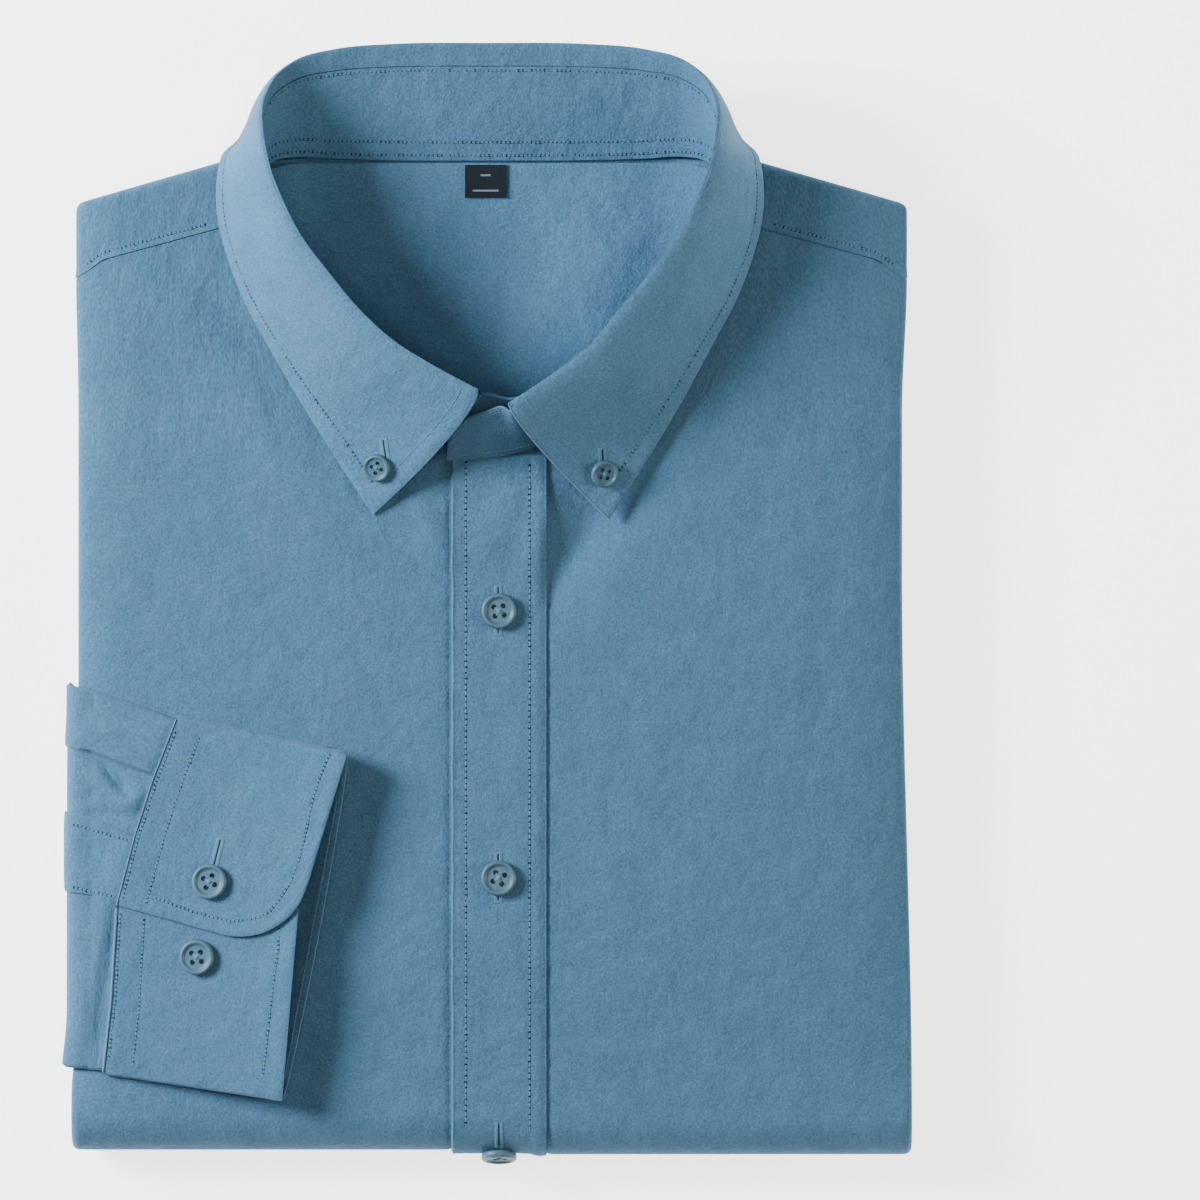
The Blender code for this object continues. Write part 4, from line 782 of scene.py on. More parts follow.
def leaf_grid(rows):
    """The leaf's outer face, from the band seam over the roll to its edge, by sections."""
    foot, roll, edge = rows["foot"], rows["roll"], rows["edge"]
    up = np.array((0.0, 0.0, 1.0))
    along = np.gradient(roll, axis=0) * (1.0, 1.0, 0.0)
    out = unit(np.cross(along, up))
    out = out * np.sign(np.sum(out * (roll - NECK_MIDDLE), axis=1))[:, None]
    fall = edge - roll
    sideways = unit(np.cross(fall * (1.0, 1.0, 0.0) + 1e-6, up))
    to_front = np.array((BUTTON_X, 20.0, 0.0)) - mix(roll, edge, 0.5)
    sideways = sideways * np.sign(np.sum(sideways * to_front, axis=1))[:, None]
    swell, bow = rows["swell"][:, None], rows["bow"][:, None]
    first = roll + out * swell * 0.6 + up * swell * 0.12
    hanging = edge - fall * 0.35 + up * np.linalg.norm(fall, axis=1)[:, None] * 0.1 + out * swell * 0.4
    lying = edge - fall * (0.5, 0.5, 0.0) + up * LEAF_BULGE
    reach = np.linalg.norm(fall[:, :2], axis=1)[:, None]
    second = mix(hanging, lying, smooth((reach - 28.0) / 20.0))
    band_top = mix(foot, roll, BAND_SHARE) + unit(roll - foot) * LEAF_GAP
    grid = [band_top, mix(band_top, roll, 0.3), mix(band_top, roll, 0.6) + up * swell * 0.02]
    grid += [mix(band_top, roll, 0.85) + up * swell * 0.01, roll]
    for t in LEAF_SHARES:
        point = (1 - t) ** 3 * roll + 3 * (1 - t) ** 2 * t * first + 3 * (1 - t) * t**2 * second
        grid.append(point + t**3 * edge + sideways * bow * 4.0 * t * (1.0 - t))
    return np.array(grid)


def leaf_relief(leaf):
    """How far the leaf's seen face lies below a plain one: at its stitches, and at its edge."""
    down = apart(leaf, leaf[-1])
    edge = np.minimum(down, np.minimum(apart(leaf, leaf[:, :1]), apart(leaf, leaf[:, -1:])))
    low = relief(edge, LEAF_RELIEF) - 0.12 * smooth(1.0 - np.abs(edge - 2.6) / 2.6)
    pucker = waves(lengths_along(leaf[-1]) + down * 0.3, 21, 14.0)
    low = low + 0.06 * pucker * bell(edge - LEAF_STITCH, 4.0)
    return low * (np.arange(len(leaf))[:, None] > 4)


def collar(cloth):
    """The band and the leaf. Their walls share normals at the seam, so they meet squarely."""
    rows = collar_sections()
    top = mix(rows["foot"], rows["roll"], BAND_SHARE)
    band = band_grid(rows["foot"], top)
    leaf = leaf_grid(rows)
    away = away_from_neck(np.concatenate([band, leaf]))
    seam = len(band)
    away[seam - 1 : seam + 1] = unit(away[seam - 1] + away[seam])
    leaf_away = away[seam:]
    seen = leaf + leaf_away * leaf_relief(leaf)[:, :, None]
    leaf_piece = wall("collar_leaf_cloth", seen, leaf + STIFF * leaf_away, cloth)
    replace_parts(leaf_piece, "collar_leaf")

    whole, end = whole_band(np.concatenate([rows["foot"], top], axis=1))
    whole_away = away_from_neck(whole)
    whole_away[:, end - len(top) : end] = away[:seam]
    inside = whole + whole_away * relief(apart(whole, whole[:1]), BAND_RELIEF)[:, :, None]
    outside = whole + STIFF * whole_away
    band_piece = wall("collar_band_cloth", inside, outside, cloth)
    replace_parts(band_piece, "collar_band")
    leaf_line, front_lines = edge_lines(seen, leaf_away, LEAF_STITCH, 6)
    return leaf_piece, {
        "leaf": leaf_line,
        "fronts": front_lines,
        "band": band_lines(whole, -whole_away, BAND_ROWS, 2),
        "band_end": band_lines(outside, whole_away, BAND_END_ROWS, end - 4),
        "edges": [seen[5:, -1], (whole + STIFF / 2 * whole_away)[-1, end - 6 :]],
    }


def nearest(grid, point):
    return int(np.argmin(np.linalg.norm(grid - point, axis=1)))


def whole_band(shared):
    """The band with both its ends, and the column past the sections that it shares with the leaf."""
    middle = collar_rows()
    middle = np.concatenate([middle[:, :3], mix(middle[:, :3], middle[:, 3:6], BAND_SHARE)], axis=1)
    rows = np.concatenate([BAND_END["right"][::-1], middle, BAND_END["left"]])
    fine = rounded(rows, (rows[:, :3] + rows[:, 3:]) / 2)
    start, end = (nearest(fine[:, :3], shared[k, :3]) for k in (0, -1))
    fine = np.concatenate([fine[:start], shared, fine[end + 1 :]])
    return band_grid(fine[:, :3], fine[:, 3:]), start + len(shared)


# ---------------------------------------------------------------- sleeve
def seam_x(y):
    return np.interp(y, *SEAM.T)


# Soft folds in the sleeve, in the columns of RIDGES.
SLEEVE_FOLDS = (
    (-122.0, -34.0, -20.0, 10.0, 4.0, -0.6),
    (-130.0, -42.0, 10.0, 9.0, 3.0, 0.5),
    (-121.5, -57.0, -50.0, 8.0, 2.0, -1.9),
    (-128.0, -57.0, -30.0, 7.0, 3.0, 1.1),
    (-116.8, -64.0, 0.0, 4.5, 3.2, 1.5),
    (-112.0, -65.0, 72.0, 6.0, 1.8, -1.3),
    (-125.0, -68.5, -8.0, 9.0, 2.2, -1.3),
    (-131.0, -63.0, 40.0, 6.0, 2.2, -0.7),
    (-126.0, -84.0, 80.0, 9.0, 3.0, -0.4),
    (-121.0, -107.0, 84.0, 12.0, 2.4, -1.5),
    (-128.0, -113.0, 82.0, 20.0, 3.4, 0.9),
    (-126.5, -134.0, 86.0, 14.0, 2.6, -0.7),
    (-132.0, -138.0, 80.0, 14.0, 2.8, 0.6),
)


def sleeve_y(value, across, kind):
    """Y of a section of the sleeve at shares of the way across it."""
    out = FLAT + value if kind == "past" else FLAT
    start = mix(np.interp(out, *SLEEVE_TOP.T), np.interp(out, *SLEEVE_BOTTOM.T), across)
    return start if kind == "past" else mix(start, mix(SLEEVE_TOP[0, 1], SLEEVE_BOTTOM[0, 1], across), value)


def sleeve_row(kind, value, across, inset, lift, seen, tuck=0.0):
    """Points of one section of the sleeve. seen is 1 for its upper layer, which has the folds.

    tuck is how far the end of that layer goes under the overlap of the cuff.
    """
    y = sleeve_y(value, across, kind) - inset
    side = half_width(-1.0, y) - BUNDLE
    in_overlap = smooth((OVERLAP_FROM - across) / 0.02)
    below = (across - PLEAT_AT) * SLEEVE_WIDE
    above = np.exp(-np.maximum(-below, 0.0) / 9.0)
    pleat = np.where(below < 0.0, above, bell(below, 0.5) - 0.5 * smooth(1.0 - below / 20.0))
    if kind == "past":
        side = side + value
        fade, near = np.clip(1.0 - value / 9.0, 0.0, 1.0), 0.0
        puff = SLEEVE_PUFF * math.sin(math.pi * min(value / FOLD_LENGTH, 1.0))
    else:
        end = seam_x(mix(SLEEVE_TOP[0, 1], SLEEVE_BOTTOM[0, 1], across))
        side = mix(side, -end + SEAM_SLIT - (tuck + SEAM_SLIT) * (in_overlap * (seen == 1.0)), value)
        fade, near = 1.0 - 0.6 * smooth((value - 0.8) / 0.2), smooth((value - 0.45) / 0.55)
        puff = 0.0
    folds = soft_folds(-side, y, SLEEVE_FOLDS) * fade
    joined = near * mix(0.2, 0.55, in_overlap)
    return body_point(-side, y, lift + puff + (PLEAT_STEP * pleat * fade + folds + joined) * seen)


def sleeve_sections():
    sections = [("past", FOLD_LENGTH + SLEEVE_IN_FOLD)]
    sections += [("past", BUNDLE * a) for a in np.linspace(math.pi, 0.0, 22)]
    return sections + [("front", share) for share in np.linspace(0.0, 1.0, 26)[1:]]


def sleeve_tube(material):
    """The sleeve: a flat tube out of the fold, round the side and on to the cuff."""
    u = np.unique(np.concatenate([np.linspace(0.0, 1.0, 110), PLEAT_AT + np.linspace(-0.01, 0.02, 13)]))
    across = np.concatenate([[0.0], u, [1.0], u[::-1]])
    seen = np.concatenate([[0.3], np.ones(len(u)), [0.3], np.zeros(len(u))])
    nested = []
    for depth in (0.0, CLOTH):
        ends = np.zeros(len(u))
        ends[0], ends[-1] = 1.0 + depth * 0.7, -(1.0 + depth * 0.7)
        inset = np.concatenate([[depth], ends, [-depth], ends[::-1]])
        high, low = GAP + SLEEVE_THICK - depth, GAP + depth
        middle = (high + low) / 2
        lift = np.concatenate([[middle], np.full(len(u), high), [middle], np.full(len(u), low)])
        rows = [sleeve_row(*section, across, inset, lift, seen, SLEEVE_TUCK) for section in sleeve_sections()]
        nested.append(np.array(rows))
    thing = wall("sleeve_cloth", nested[0], nested[1], material, closed=True)
    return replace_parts(thing, "sleeve_right")


def gauntlet(material):
    """The strip that edges the sleeve's opening, on top of the sleeve."""
    u = np.linspace(GAUNTLET_FROM, GAUNTLET_TO, 27)
    low = GAP + SLEEVE_THICK + 0.15
    high = low + 0.8 + relief(u - GAUNTLET_FROM, GAUNTLET_RELIEF) + relief(GAUNTLET_TO - u, GAUNTLET_RELIEF)
    faces = []
    for lift in (high, np.full(len(u), low)):
        rows = [sleeve_row(*section, u, 0.0, lift, np.ones(len(u))) for section in sleeve_sections()[12:]]
        faces.append(np.array(rows))
    thing = wall("gauntlet_cloth", *faces, material)
    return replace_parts(thing, "sleeve_placket")


# ---------------------------------------------------------------- cuff
CUFF_ACROSS = np.concatenate([np.linspace(0.0, 0.96, 44), (0.975, 0.99, 1.0)])
CUFF_OUT = np.array((0.983, -0.185))  # out of its mouth, in the plan
CUFF_TOP_ROWS, CUFF_LOW_ROWS, CUFF_UNDER_ROWS = slice(0, 37), slice(46, 86), slice(95, 121)


def cuff_line(line, share):
    """A point across the cuff on one of its lines, as X and Y."""
    seam = np.array((seam_x(line[1]), line[1]))
    return mix(seam, np.array(line[2:]), share[:, None])


def cuff_row(place, lift, gape):
    """A row of points across the cuff. Its end at the seam follows the curve of the seam."""
    bend = seam_x(place[0, 1]) - place[0, 0]
    x, y = place[:, 0] + bend * (1.0 - CUFF_ACROSS) ** 2, place[:, 1]
    return points(x, y, front_z(x, y) + lift + mix(CUFF_LOW_LIFT, CUFF_LIFT, gape) * CUFF_ACROSS**2)


def cuff_turn(edge, out, base, radius, half, sign):
    """Rows round a fold of the cuff. sign is 1 if they start at its upper side, or else -1."""
    rows = []
    for angle in np.linspace(0.0, math.pi, 11)[1:-1]:
        level = sign * math.cos(angle)
        place = edge + out * ((radius + half) * math.sin(angle))
        rows.append(cuff_row(place, base + radius + (radius + half) * level, (1.0 + level) / 2))
    return rows


def cuff_grid(half):
    """One face of the cuff's strip, half its thickness out from the middle of it."""
    v = CUFF_ACROSS
    lines = (CUFF_OVERLAP_END, CUFF_TOP_FOLD, CUFF_BOTTOM_FOLD, CUFF_UNDERLAP_END)
    overlap, top, bottom, underlap = (cuff_line(line, v) for line in lines)
    low, middle, high = CUFF_STACK
    up = unit(top - bottom)
    inward = np.clip(CUFF_ROUND - (1.0 - v) * CUFF_LENGTH, 0.0, CUFF_ROUND)
    cut = (CUFF_ROUND - np.sqrt(CUFF_ROUND**2 - inward**2)) / np.linalg.norm(top - overlap, axis=1)
    rows = []
    for t in (0.0, 0.006, 0.016, *np.linspace(0.04, 1.0, 34)):
        t = cut + (1.0 - cut) * t
        lift = mix(high, low + 2 * CUFF_RADII[0], smooth((t - 0.5) / 0.4))
        rows.append(cuff_row(mix(overlap, top, t[:, None]), lift + half, 1.0 + CUFF_FLARE * (1.0 - t) ** 2))
    rows += cuff_turn(top, up, low, CUFF_RADII[0], half, 1.0)
    curl = CUFF_CURL * smooth((v - 0.88) / 0.12)
    for t in np.linspace(0.0, 1.0, 40):
        ripple = 0.25 * waves(np.array(t * SLEEVE_WIDE), 41, 13.0) * smooth((v - 0.8) / 0.2)
        full = math.sin(math.pi * t) ** 0.5
        place = mix(top, bottom, t) + CUFF_OUT * (CUFF_BULGE * full * smooth((v - 0.5) / 0.5))[:, None]
        rows.append(cuff_row(place, low - half + (curl + ripple) * full, 0.0))
    rows += cuff_turn(bottom, -up, low, CUFF_RADII[1], half, -1.0)
    for t in np.linspace(0.0, 1.0, 26):
        gape = 1.0 + 0.9 * CUFF_FLARE * math.sin(math.pi * t)
        rows.append(cuff_row(mix(bottom, underlap, t), middle + half, gape))
    return np.array(rows)


def cuff(material):
    """The cuff: a stiff strip that goes once round, its rounded end on top."""
    outer, inner = cuff_grid(STIFF / 2), cuff_grid(-STIFF / 2)
    outside = np.sign(outer[5, 5, 2] - inner[5, 5, 2]) * unit(outer - inner)
    from_seam = apart(outer, outer[:, :1])
    edge = np.minimum.reduce([apart(outer, line) for line in (outer[:, -1:], outer[:1], outer[-1:])])
    run = np.arange(outer.shape[0])[:, None] * 2.2
    pucker = 0.05 * waves(run + from_seam * 0.4, 31, 12.0) * bell(edge - 4.0, 4.0)
    lift = relief(edge, CUFF_EDGE_RELIEF) + relief(from_seam, CUFF_SEAM_RELIEF) + pucker
    thing = wall("cuff_cloth", outer + outside * lift[:, :, None], inner, material)
    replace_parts(thing, "cuff")
    return thing, {
        "mouth": outer[CUFF_LOW_ROWS, -1],
        "top": outer[CUFF_TOP_ROWS, 0],
        "under": outer[CUFF_UNDER_ROWS, 0],
    }


# ---------------------------------------------------------------- buttons
BUTTON_PROFILE = (
    (0.86, 0.0), (0.95, 0.06), (1.0, 0.25), (1.0, 0.6), (0.975, 0.82), (0.92, 0.95), (0.86, 1.0),
    (0.8, 0.97), (0.75, 0.86), (0.71, 0.74), (0.66, 0.68), (0.6, 0.66),
)
BUTTON_HOLE_R, BUTTON_HOLE_FROM_MIDDLE = 0.86, 1.95  # on the larger buttons
BUTTON_SIDES, HOLE_SIDES = 64, 16
# Crossed thread: its radius, how far its two strands lie apart, how deep it goes in and how high it lies.
CROSS_R, CROSS_APART, CROSS_SINK, CROSS_HIGH = 0.21, 0.2, 0.5, 0.42
# The piece that carries each button, X and Y, radius and thickness, turn. One lies on the bottom fold.
BUTTONS = {
    "button_chest": ("placket", (BUTTON_X, BUTTON_Y[0]), LARGE, 0.12),
    "button_waist": ("placket", (BUTTON_X, BUTTON_Y[1]), LARGE, -0.3),
    "button_fold": ("fold", None, LARGE, 0.2),
    "button_collar_right": ("leaf", (-36.4, 44.5), SMALL, 0.5),
    "button_collar_left": ("leaf", (36.9, 42.6), SMALL, -0.2),
    "button_cuff_over": ("cuff", (-90.8, -90.2), LARGE, 0.3),
    "button_cuff_under": ("cuff", (-94.9, -114.7), LARGE, 0.1),
}
# Buttonholes: from stitch to stitch, the two ends of a stitch off the slit, radius of thread and of the dark
# thread that paints shade into the slit.
BAR_PITCH, BAR_REACH, BAR_R, SLIT_SHADE_R = 0.34, (0.3, 1.25), 0.17, 0.26
# The piece that carries each buttonhole, its middle, heading in degrees and half length.
BUTTONHOLES = {
    "chest": ("placket", (BUTTON_X - 0.2, BUTTON_Y[0] + 0.2), 90.0, 8.0),
    "waist": ("placket", (BUTTON_X - 0.2, BUTTON_Y[1] + 0.2), 90.0, 8.0),
    "fold": ("placket", (BUTTON_X, -172.6), 90.0, 4.2),
    "collar_right": ("leaf", (-33.9, 48.4), 98.0, 5.6),
    "collar_left": ("leaf", (36.7, 45.6), 92.0, 5.0),
    "cuff": ("cuff", (-89.2, -83.4), 76.0, 7.6),
}


def fill_with_holes(work, rim, holes):
    """A flat face between a rim and four holes."""
    edges = []
    for loop in (rim, *holes):
        for a, b in zip(loop, [*loop[1:], loop[0]]):
            edges.append(work.edges.get((a, b)) or work.edges.new((a, b)))
    bmesh.ops.triangle_fill(work, edges=edges, use_beauty=True)


def capsule(start, end, radius, sides=8):
    """A short thread with round ends: vertices and faces."""
    start, end = np.array(start, float), np.array(end, float)
    along = unit(end - start)
    across, other = square_to(along)
    tips = [(along * radius, 0.1), (along * radius * 0.7, 0.7), (0.0, 1.0)]
    stops = [(start - past, scale) for past, scale in tips]
    stops += [(end + past, scale) for past, scale in tips[::-1]]
    rings = [
        place + radius * scale * (across * math.cos(turn) + other * math.sin(turn))
        for place, scale in stops for turn in turns(sides)
    ]
    return rings, ring_faces(len(stops), sides)


def many(name, parts, material):
    """One piece from many small parts, each a list of vertices and a list of faces."""
    vertices, faces = [], []
    for part_vertices, part_faces in parts:
        faces += [tuple(v + len(vertices) for v in face) for face in part_faces]
        vertices += list(part_vertices)
    return new_piece(name, vertices, faces, None, material)


def button_body(radius, thick, off, scale):
    """Vertices and faces of a button with a raised rim, a dished middle and four holes off its middle."""
    work = bmesh.new()
    rings = []
    for r, z in BUTTON_PROFILE:
        ring = [(r * radius * math.cos(a), r * radius * math.sin(a), z * thick) for a in turns(BUTTON_SIDES)]
        rings.append([work.verts.new(v) for v in ring])
    sides = {0.0: [], BUTTON_PROFILE[-1][1] * thick: []}
    hole_r = BUTTON_HOLE_R * scale
    for z, made in sides.items():
        for x, y in ((-off, -off), (-off, off), (off, -off), (off, off)):
            ring = [(x + hole_r * math.cos(a), y + hole_r * math.sin(a), z) for a in turns(HOLE_SIDES)]
            made.append([work.verts.new(v) for v in ring])
    bottom, top = sides.values()
    for low, high in (*zip(rings, rings[1:]), *zip(top, bottom)):
        for j in range(len(low)):
            k = (j + 1) % len(low)
            work.faces.new((low[j], low[k], high[k], high[j]))
    fill_with_holes(work, rings[0], bottom)
    fill_with_holes(work, rings[-1], top)
    index = {v: k for k, v in enumerate(work.verts)}
    vertices = [tuple(v.co) for v in work.verts]
    faces = [tuple(index[v] for v in face.verts) for face in work.faces]
    work.free()
    return vertices, faces


def button(node, radius, thick, place, facing, turn, horn, thread):
    """A four-hole button, sewn on with crossed thread."""
    scale = radius / LARGE[0]
    off = BUTTON_HOLE_FROM_MIDDLE * scale / math.sqrt(1.7)
    floor_z = BUTTON_PROFILE[-1][1] * thick
    facing = unit(np.array(facing, float))
    sideways = unit(np.cross((0.0, 1.0, 0.0), facing))
    along = np.cross(facing, sideways)
    c, s = math.cos(turn), math.sin(turn)
    sideways, along = sideways * c + along * s, along * c - sideways * s
    flat, faces = button_body(radius, thick, off, scale)
    vertices = [np.array(place) + x * sideways + y * along + z * facing for x, y, z in flat]
    thing = new_piece(f"{node}_horn", vertices, faces, None, horn)
    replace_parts(thing, node)
    parts = []
    for x, y in ((off, off), (off, -off)):
        reach = sideways * x + along * y
        for shift in (-CROSS_APART, CROSS_APART):
            aside = (sideways * y - along * x) / math.hypot(x, y) * shift * scale
            low, high = facing * (floor_z - CROSS_SINK), facing * (floor_z + CROSS_HIGH * scale)
            start, end = (place + m * 0.72 * reach + low + aside for m in (-1.0, 1.0))
            middle = place + high + aside
            parts += [capsule(*ends, CROSS_R * scale) for ends in ((start, middle), (middle, end))]
    many(f"{node}_thread", parts, thread)


def seat_on(tree, place, radius):
    """Where a button's back goes above a point of the plan, clear of the cloth below its rim."""
    hits = []
    for reach in (0.0, 0.5 * radius, radius):
        for angle in turns(16):
            x, y = place[0] + reach * math.cos(angle), place[1] + reach * math.sin(angle)
            hits.append(drop_on(tree, x, y)[0])
    middle, rim = hits[0], hits[-16:]
    facing = unit(sum(np.cross(rim[k] - middle, rim[(k + 4) % 16] - middle) for k in range(16)))
    lift = max(float(np.dot(hit - middle, facing)) for hit in hits) + GAP
    return middle + facing * lift, facing


def all_buttons(trees, horn, thread):
    for node, (carrier, plan, (radius, thick), turn) in BUTTONS.items():
        if carrier == "fold":
            place = body_point(BUTTON_X, TURN_Y - BUTTON_TURN * TURN_R, 2 * GAP + 1.0)
            facing = (0.0, -math.sin(BUTTON_TURN), math.cos(BUTTON_TURN))
        else:
            place, facing = seat_on(trees[carrier], plan, radius)
        button(node, radius, thick, place, facing, turn, horn, thread)


# ---------------------------------------------------------------- stitches
def walk(line, step):
    """Points a step apart along a line."""
    line = np.array(line, float)
    place = lengths_along(line)
    return between(np.arange(step / 2, place[-1], step), place, line)


def needle_hole_shade(place, normal, radius):
    """Painted shade of a small needle pit, drawn as a dark low dome just proud of the cloth."""
    across, other = square_to(normal)
    ring = [place + radius * (across * math.cos(a) + other * math.sin(a)) for a in turns(8)]
    return [*ring, place + normal * 0.05], [tuple(range(8)), *[(k, (k + 1) % 8, 8) for k in range(8)]]


def sew(name, runs, thread, dark=None):
    """Rows of lockstitch: a thread lying in the cloth, and between stitches a dark dome that paints the shade
    of a needle hole.

    Each run is a list of places with their normals. Fine rows are given no painted hole shade.
    """
    threads, holes = [], []
    trim, sink = (1.0 - THREAD_SHARE) / 2, STITCH_R * 0.2
    for run in runs:
        for (a, na), (b, nb) in zip(run, run[1:]):
            if a is None or b is None or np.linalg.norm(a - b) > 2.0 * LONG_PITCH:
                continue
            ends = mix(a, b, trim) - na * sink, mix(a, b, 1.0 - trim) - nb * sink
            threads.append(capsule(*ends, STITCH_R, 6))
            holes.append(needle_hole_shade(a + na * 0.02, na, NEEDLE_R * random.uniform(0.6, 1.15)))
    many(f"{name}_thread", threads, thread)
    if dark is not None:
        many(f"{name}_holes", holes, dark)


def highlight_edge(name, line, radius, material):
    """A fine round edge along a line of points, where stiff cloth turns, drawn in pale thread colour: a
    painted highlight where it catches the light.
    """
    parts = [capsule(a, b, radius, 6) for a, b in zip(line, line[1:]) if np.linalg.norm(a - b) > 0.05]
    many(name, parts, material)


def dropped(tree, lines, pitch):
    """Runs of stitches on a piece, below lines of X, Y."""
    runs = []
    for line in lines:
        stops = walk(line, pitch)
        stops = stops + random.normal(0.0, WANDER[0], stops.shape)
        runs.append([drop_on(tree, *stop) for stop in stops])
    return runs


def along_rows(rows, pitch):
    """Runs of stitches along rows of points that have their normals."""
    runs = []
    for line, facing in rows:
        both = walk(np.concatenate([line, facing], axis=1), pitch)
        both[:, :3] += random.normal(0.0, WANDER[1], both[:, :3].shape)
        runs.append([(stop[:3], unit(stop[3:])) for stop in both])
    return runs


def all_stitches(trees, collar_lines, thread, pale, dark):
    """Every row of stitches, each on the piece that carries it."""
    xs = PLACKET_X[0] + PLACKET_STITCH[0], PLACKET_X[1] - PLACKET_STITCH[1]
    down = [[(x, start), (x, TURN_Y - 6.0)] for x, start in zip(xs, (47.0, 46.0))]
    yoke = []
    for sign in (-1.0, 1.0):
        x = sign * np.linspace(92.0, 133.0, 20)
        yoke.append(list(zip(x, yoke_seam_y(x) + 2.4)))
    cuff_rows, inside_rows = cuff_lines()
    # The last column is the near-black finish for the painted shade of the needle holes, or None.
    on_pieces = (
        ("placket", "placket", down, LONG_PITCH, thread, dark),
        ("yoke", "yoke", yoke, SHORT_PITCH, thread, dark),
        ("cuff", "cuff", cuff_rows, SHORT_PITCH, thread, dark),
        ("cuff_inside", "cuff", inside_rows, SHORT_PITCH, pale, None),
        ("gauntlet", "gauntlet", gauntlet_lines(), SHORT_PITCH, thread, dark),
    )
    for name, carrier, lines, pitch, yarn, holes in on_pieces:
        sew(f"{name}_stitch", dropped(trees[carrier], lines, pitch), yarn, holes)
    # The last column is the finish for the painted shade of the needle holes, or None.
    on_collar = (
        ("leaf", [collar_lines["leaf"]], dark),
        ("leaf_front", collar_lines["fronts"], None),
        ("band", collar_lines["band"], dark),
        ("band_end", collar_lines["band_end"], None),
    )
    for name, rows, holes in on_collar:
        sew(f"{name}_stitch", along_rows(rows, SHORT_PITCH), thread, holes)


CUFF_HEADING, CUFF_SEAM_STITCH = np.array((0.975, -0.22)), (1.4, 9.4)  # from its seam, and distances on
CUFF_STITCH = (  # X and Y round the edge of the overlap, and along the mouth below it
    ((-51.6, -48.2), (-54.6, -55.0), (-57.2, -62.5), (-59.5, -73.5), (-61.8, -83.0), (-65.0, -91.0),
     (-68.3, -96.0), (-71.5, -100.0), (-76.0, -102.0), (-84.0, -103.0), (-91.0, -101.5), (-99.0, -99.0),
     (-106.0, -96.5), (-110.5, -94.8)),
    ((-68.2, -104.5), (-68.6, -112.5), (-69.9, -120.6), (-71.5, -135.2), (-73.8, -155.0)),
)


def cuff_lines():
    """Rows of stitches on the cuff, as X and Y: on its outside, and inside its mouth."""
    beside = []
    for start, end, count in ((-41.0, -97.0, 20), (-100.0, -149.0, 16)):
        seam = np.array([(seam_x(y), y) for y in np.linspace(start, end, count)])
        beside += [seam + CUFF_HEADING * inset for inset in CUFF_SEAM_STITCH]
    corners = np.array(CUFF_TOP_FOLD[2:]), np.array(CUFF_BOTTOM_FOLD[2:])
    return [*beside, *CUFF_STITCH], [[mix(*corners, t) - CUFF_HEADING * 0.6 for t in (0.12, 0.95)]]


def gauntlet_lines():
    """Rows of stitches along the strip on the sleeve, as X and Y."""
    lines = []
    for share in (GAUNTLET_FROM + 0.018, GAUNTLET_TO - 0.02):
        lines.append([(-136.0 + 1.2 * k, sleeve_y(k / 18.0, share, "front")) for k in range(18)])
    return lines


def edge_lines(grid, away, inset, first_row):
    """Lines of stitches at a distance inside the leaf's outer edge, and inside its two ends."""
    across, down = lengths_along(grid, 1), lengths_along(grid, 0)
    left = down[-1] - down
    both = np.concatenate([grid, -away], axis=2)
    middle, start, end = [], [], []
    for i in range(first_row, len(grid)):
        for made, place in ((start, inset), (end, across[i, -1] - inset)):
            column = int(np.argmin(np.abs(across[i] - place)))
            if left[i, column] >= inset:
                made.append(between(place, across[i], both[i]))
    for j in range(grid.shape[1]):
        low = down[-1, j] - inset
        row = int(np.argmin(np.abs(down[:, j] - low)))
        if across[row, j] >= inset and across[row, -1] - across[row, j] >= inset:
            middle.append(between(low, down[:, j], both[:, j]))
    leaf_line, *front_lines = (np.split(np.array(made), 2, axis=1) for made in (middle, start, end))
    return leaf_line, front_lines


def band_lines(grid, facing, insets, first):
    """Rows of stitches along the band from a column on: above its foot, or below its top if negative."""
    high = apart(grid, grid[:1])
    both = np.concatenate([grid, facing], axis=2)
    rows = []
    for inset in insets:
        at = np.full(grid.shape[1], inset) if inset > 0.0 else high[-1] + inset
        line = [between(at[j], high[:, j], both[:, j]) for j in range(first, grid.shape[1] - 2)]
        rows.append(np.split(np.array(line), 2, axis=1))
    return rows


def buttonhole(name, carrier, middle, heading, half, thread, dark):
    """Two bars of close stitches either side of a slit, and a bar across each end."""
    c, s = math.cos(heading), math.sin(heading)

    def seat(at, side, lift):
        place, normal = drop_on(carrier, middle[0] + at * c - side * s, middle[1] + at * s + side * c)
        return None if place is None else place + normal * lift

    def joined(ends, radius):
        return [] if any(end is None for end in ends) else [capsule(*ends, radius, 6)]

    parts, slit = [], []
    for sign in (-1.0, 1.0):
        for at in np.arange(-half, half, BAR_PITCH):
            inner = BAR_REACH[0] * sign if abs(at) < half - 0.8 else 0.0
            parts += joined([seat(at, side, 0.06) for side in (inner, BAR_REACH[1] * sign)], BAR_R)
    many(f"{name}_thread", parts, thread)
    # The slit is drawn as a row of dark thread: painted shade in the cut.
    for at in np.arange(-half + 0.6, half - 0.6, 0.5):
        slit += joined([seat(end, 0.0, 0.02) for end in (at, at + 0.55)], SLIT_SHADE_R)
    many(f"{name}_slit", slit, dark)


def all_buttonholes(trees, thread, dark):
    for name, (carrier, middle, heading, half) in BUTTONHOLES.items():
        where = trees[carrier], middle, math.radians(heading)
        buttonhole(f"buttonhole_{name}", *where, half, thread, dark)


# ---------------------------------------------------------------- materials
def new_shader(name):
    """A new material and its main shader."""
    material = bpy.data.materials.new(name)
    material.use_nodes = True
    return material, material.node_tree.nodes["Principled BSDF"]


def set_inputs(node, **values):
    """Input names are given with _ for a space."""
    for name, value in values.items():
        node.inputs[name.replace("_", " ")].default_value = value


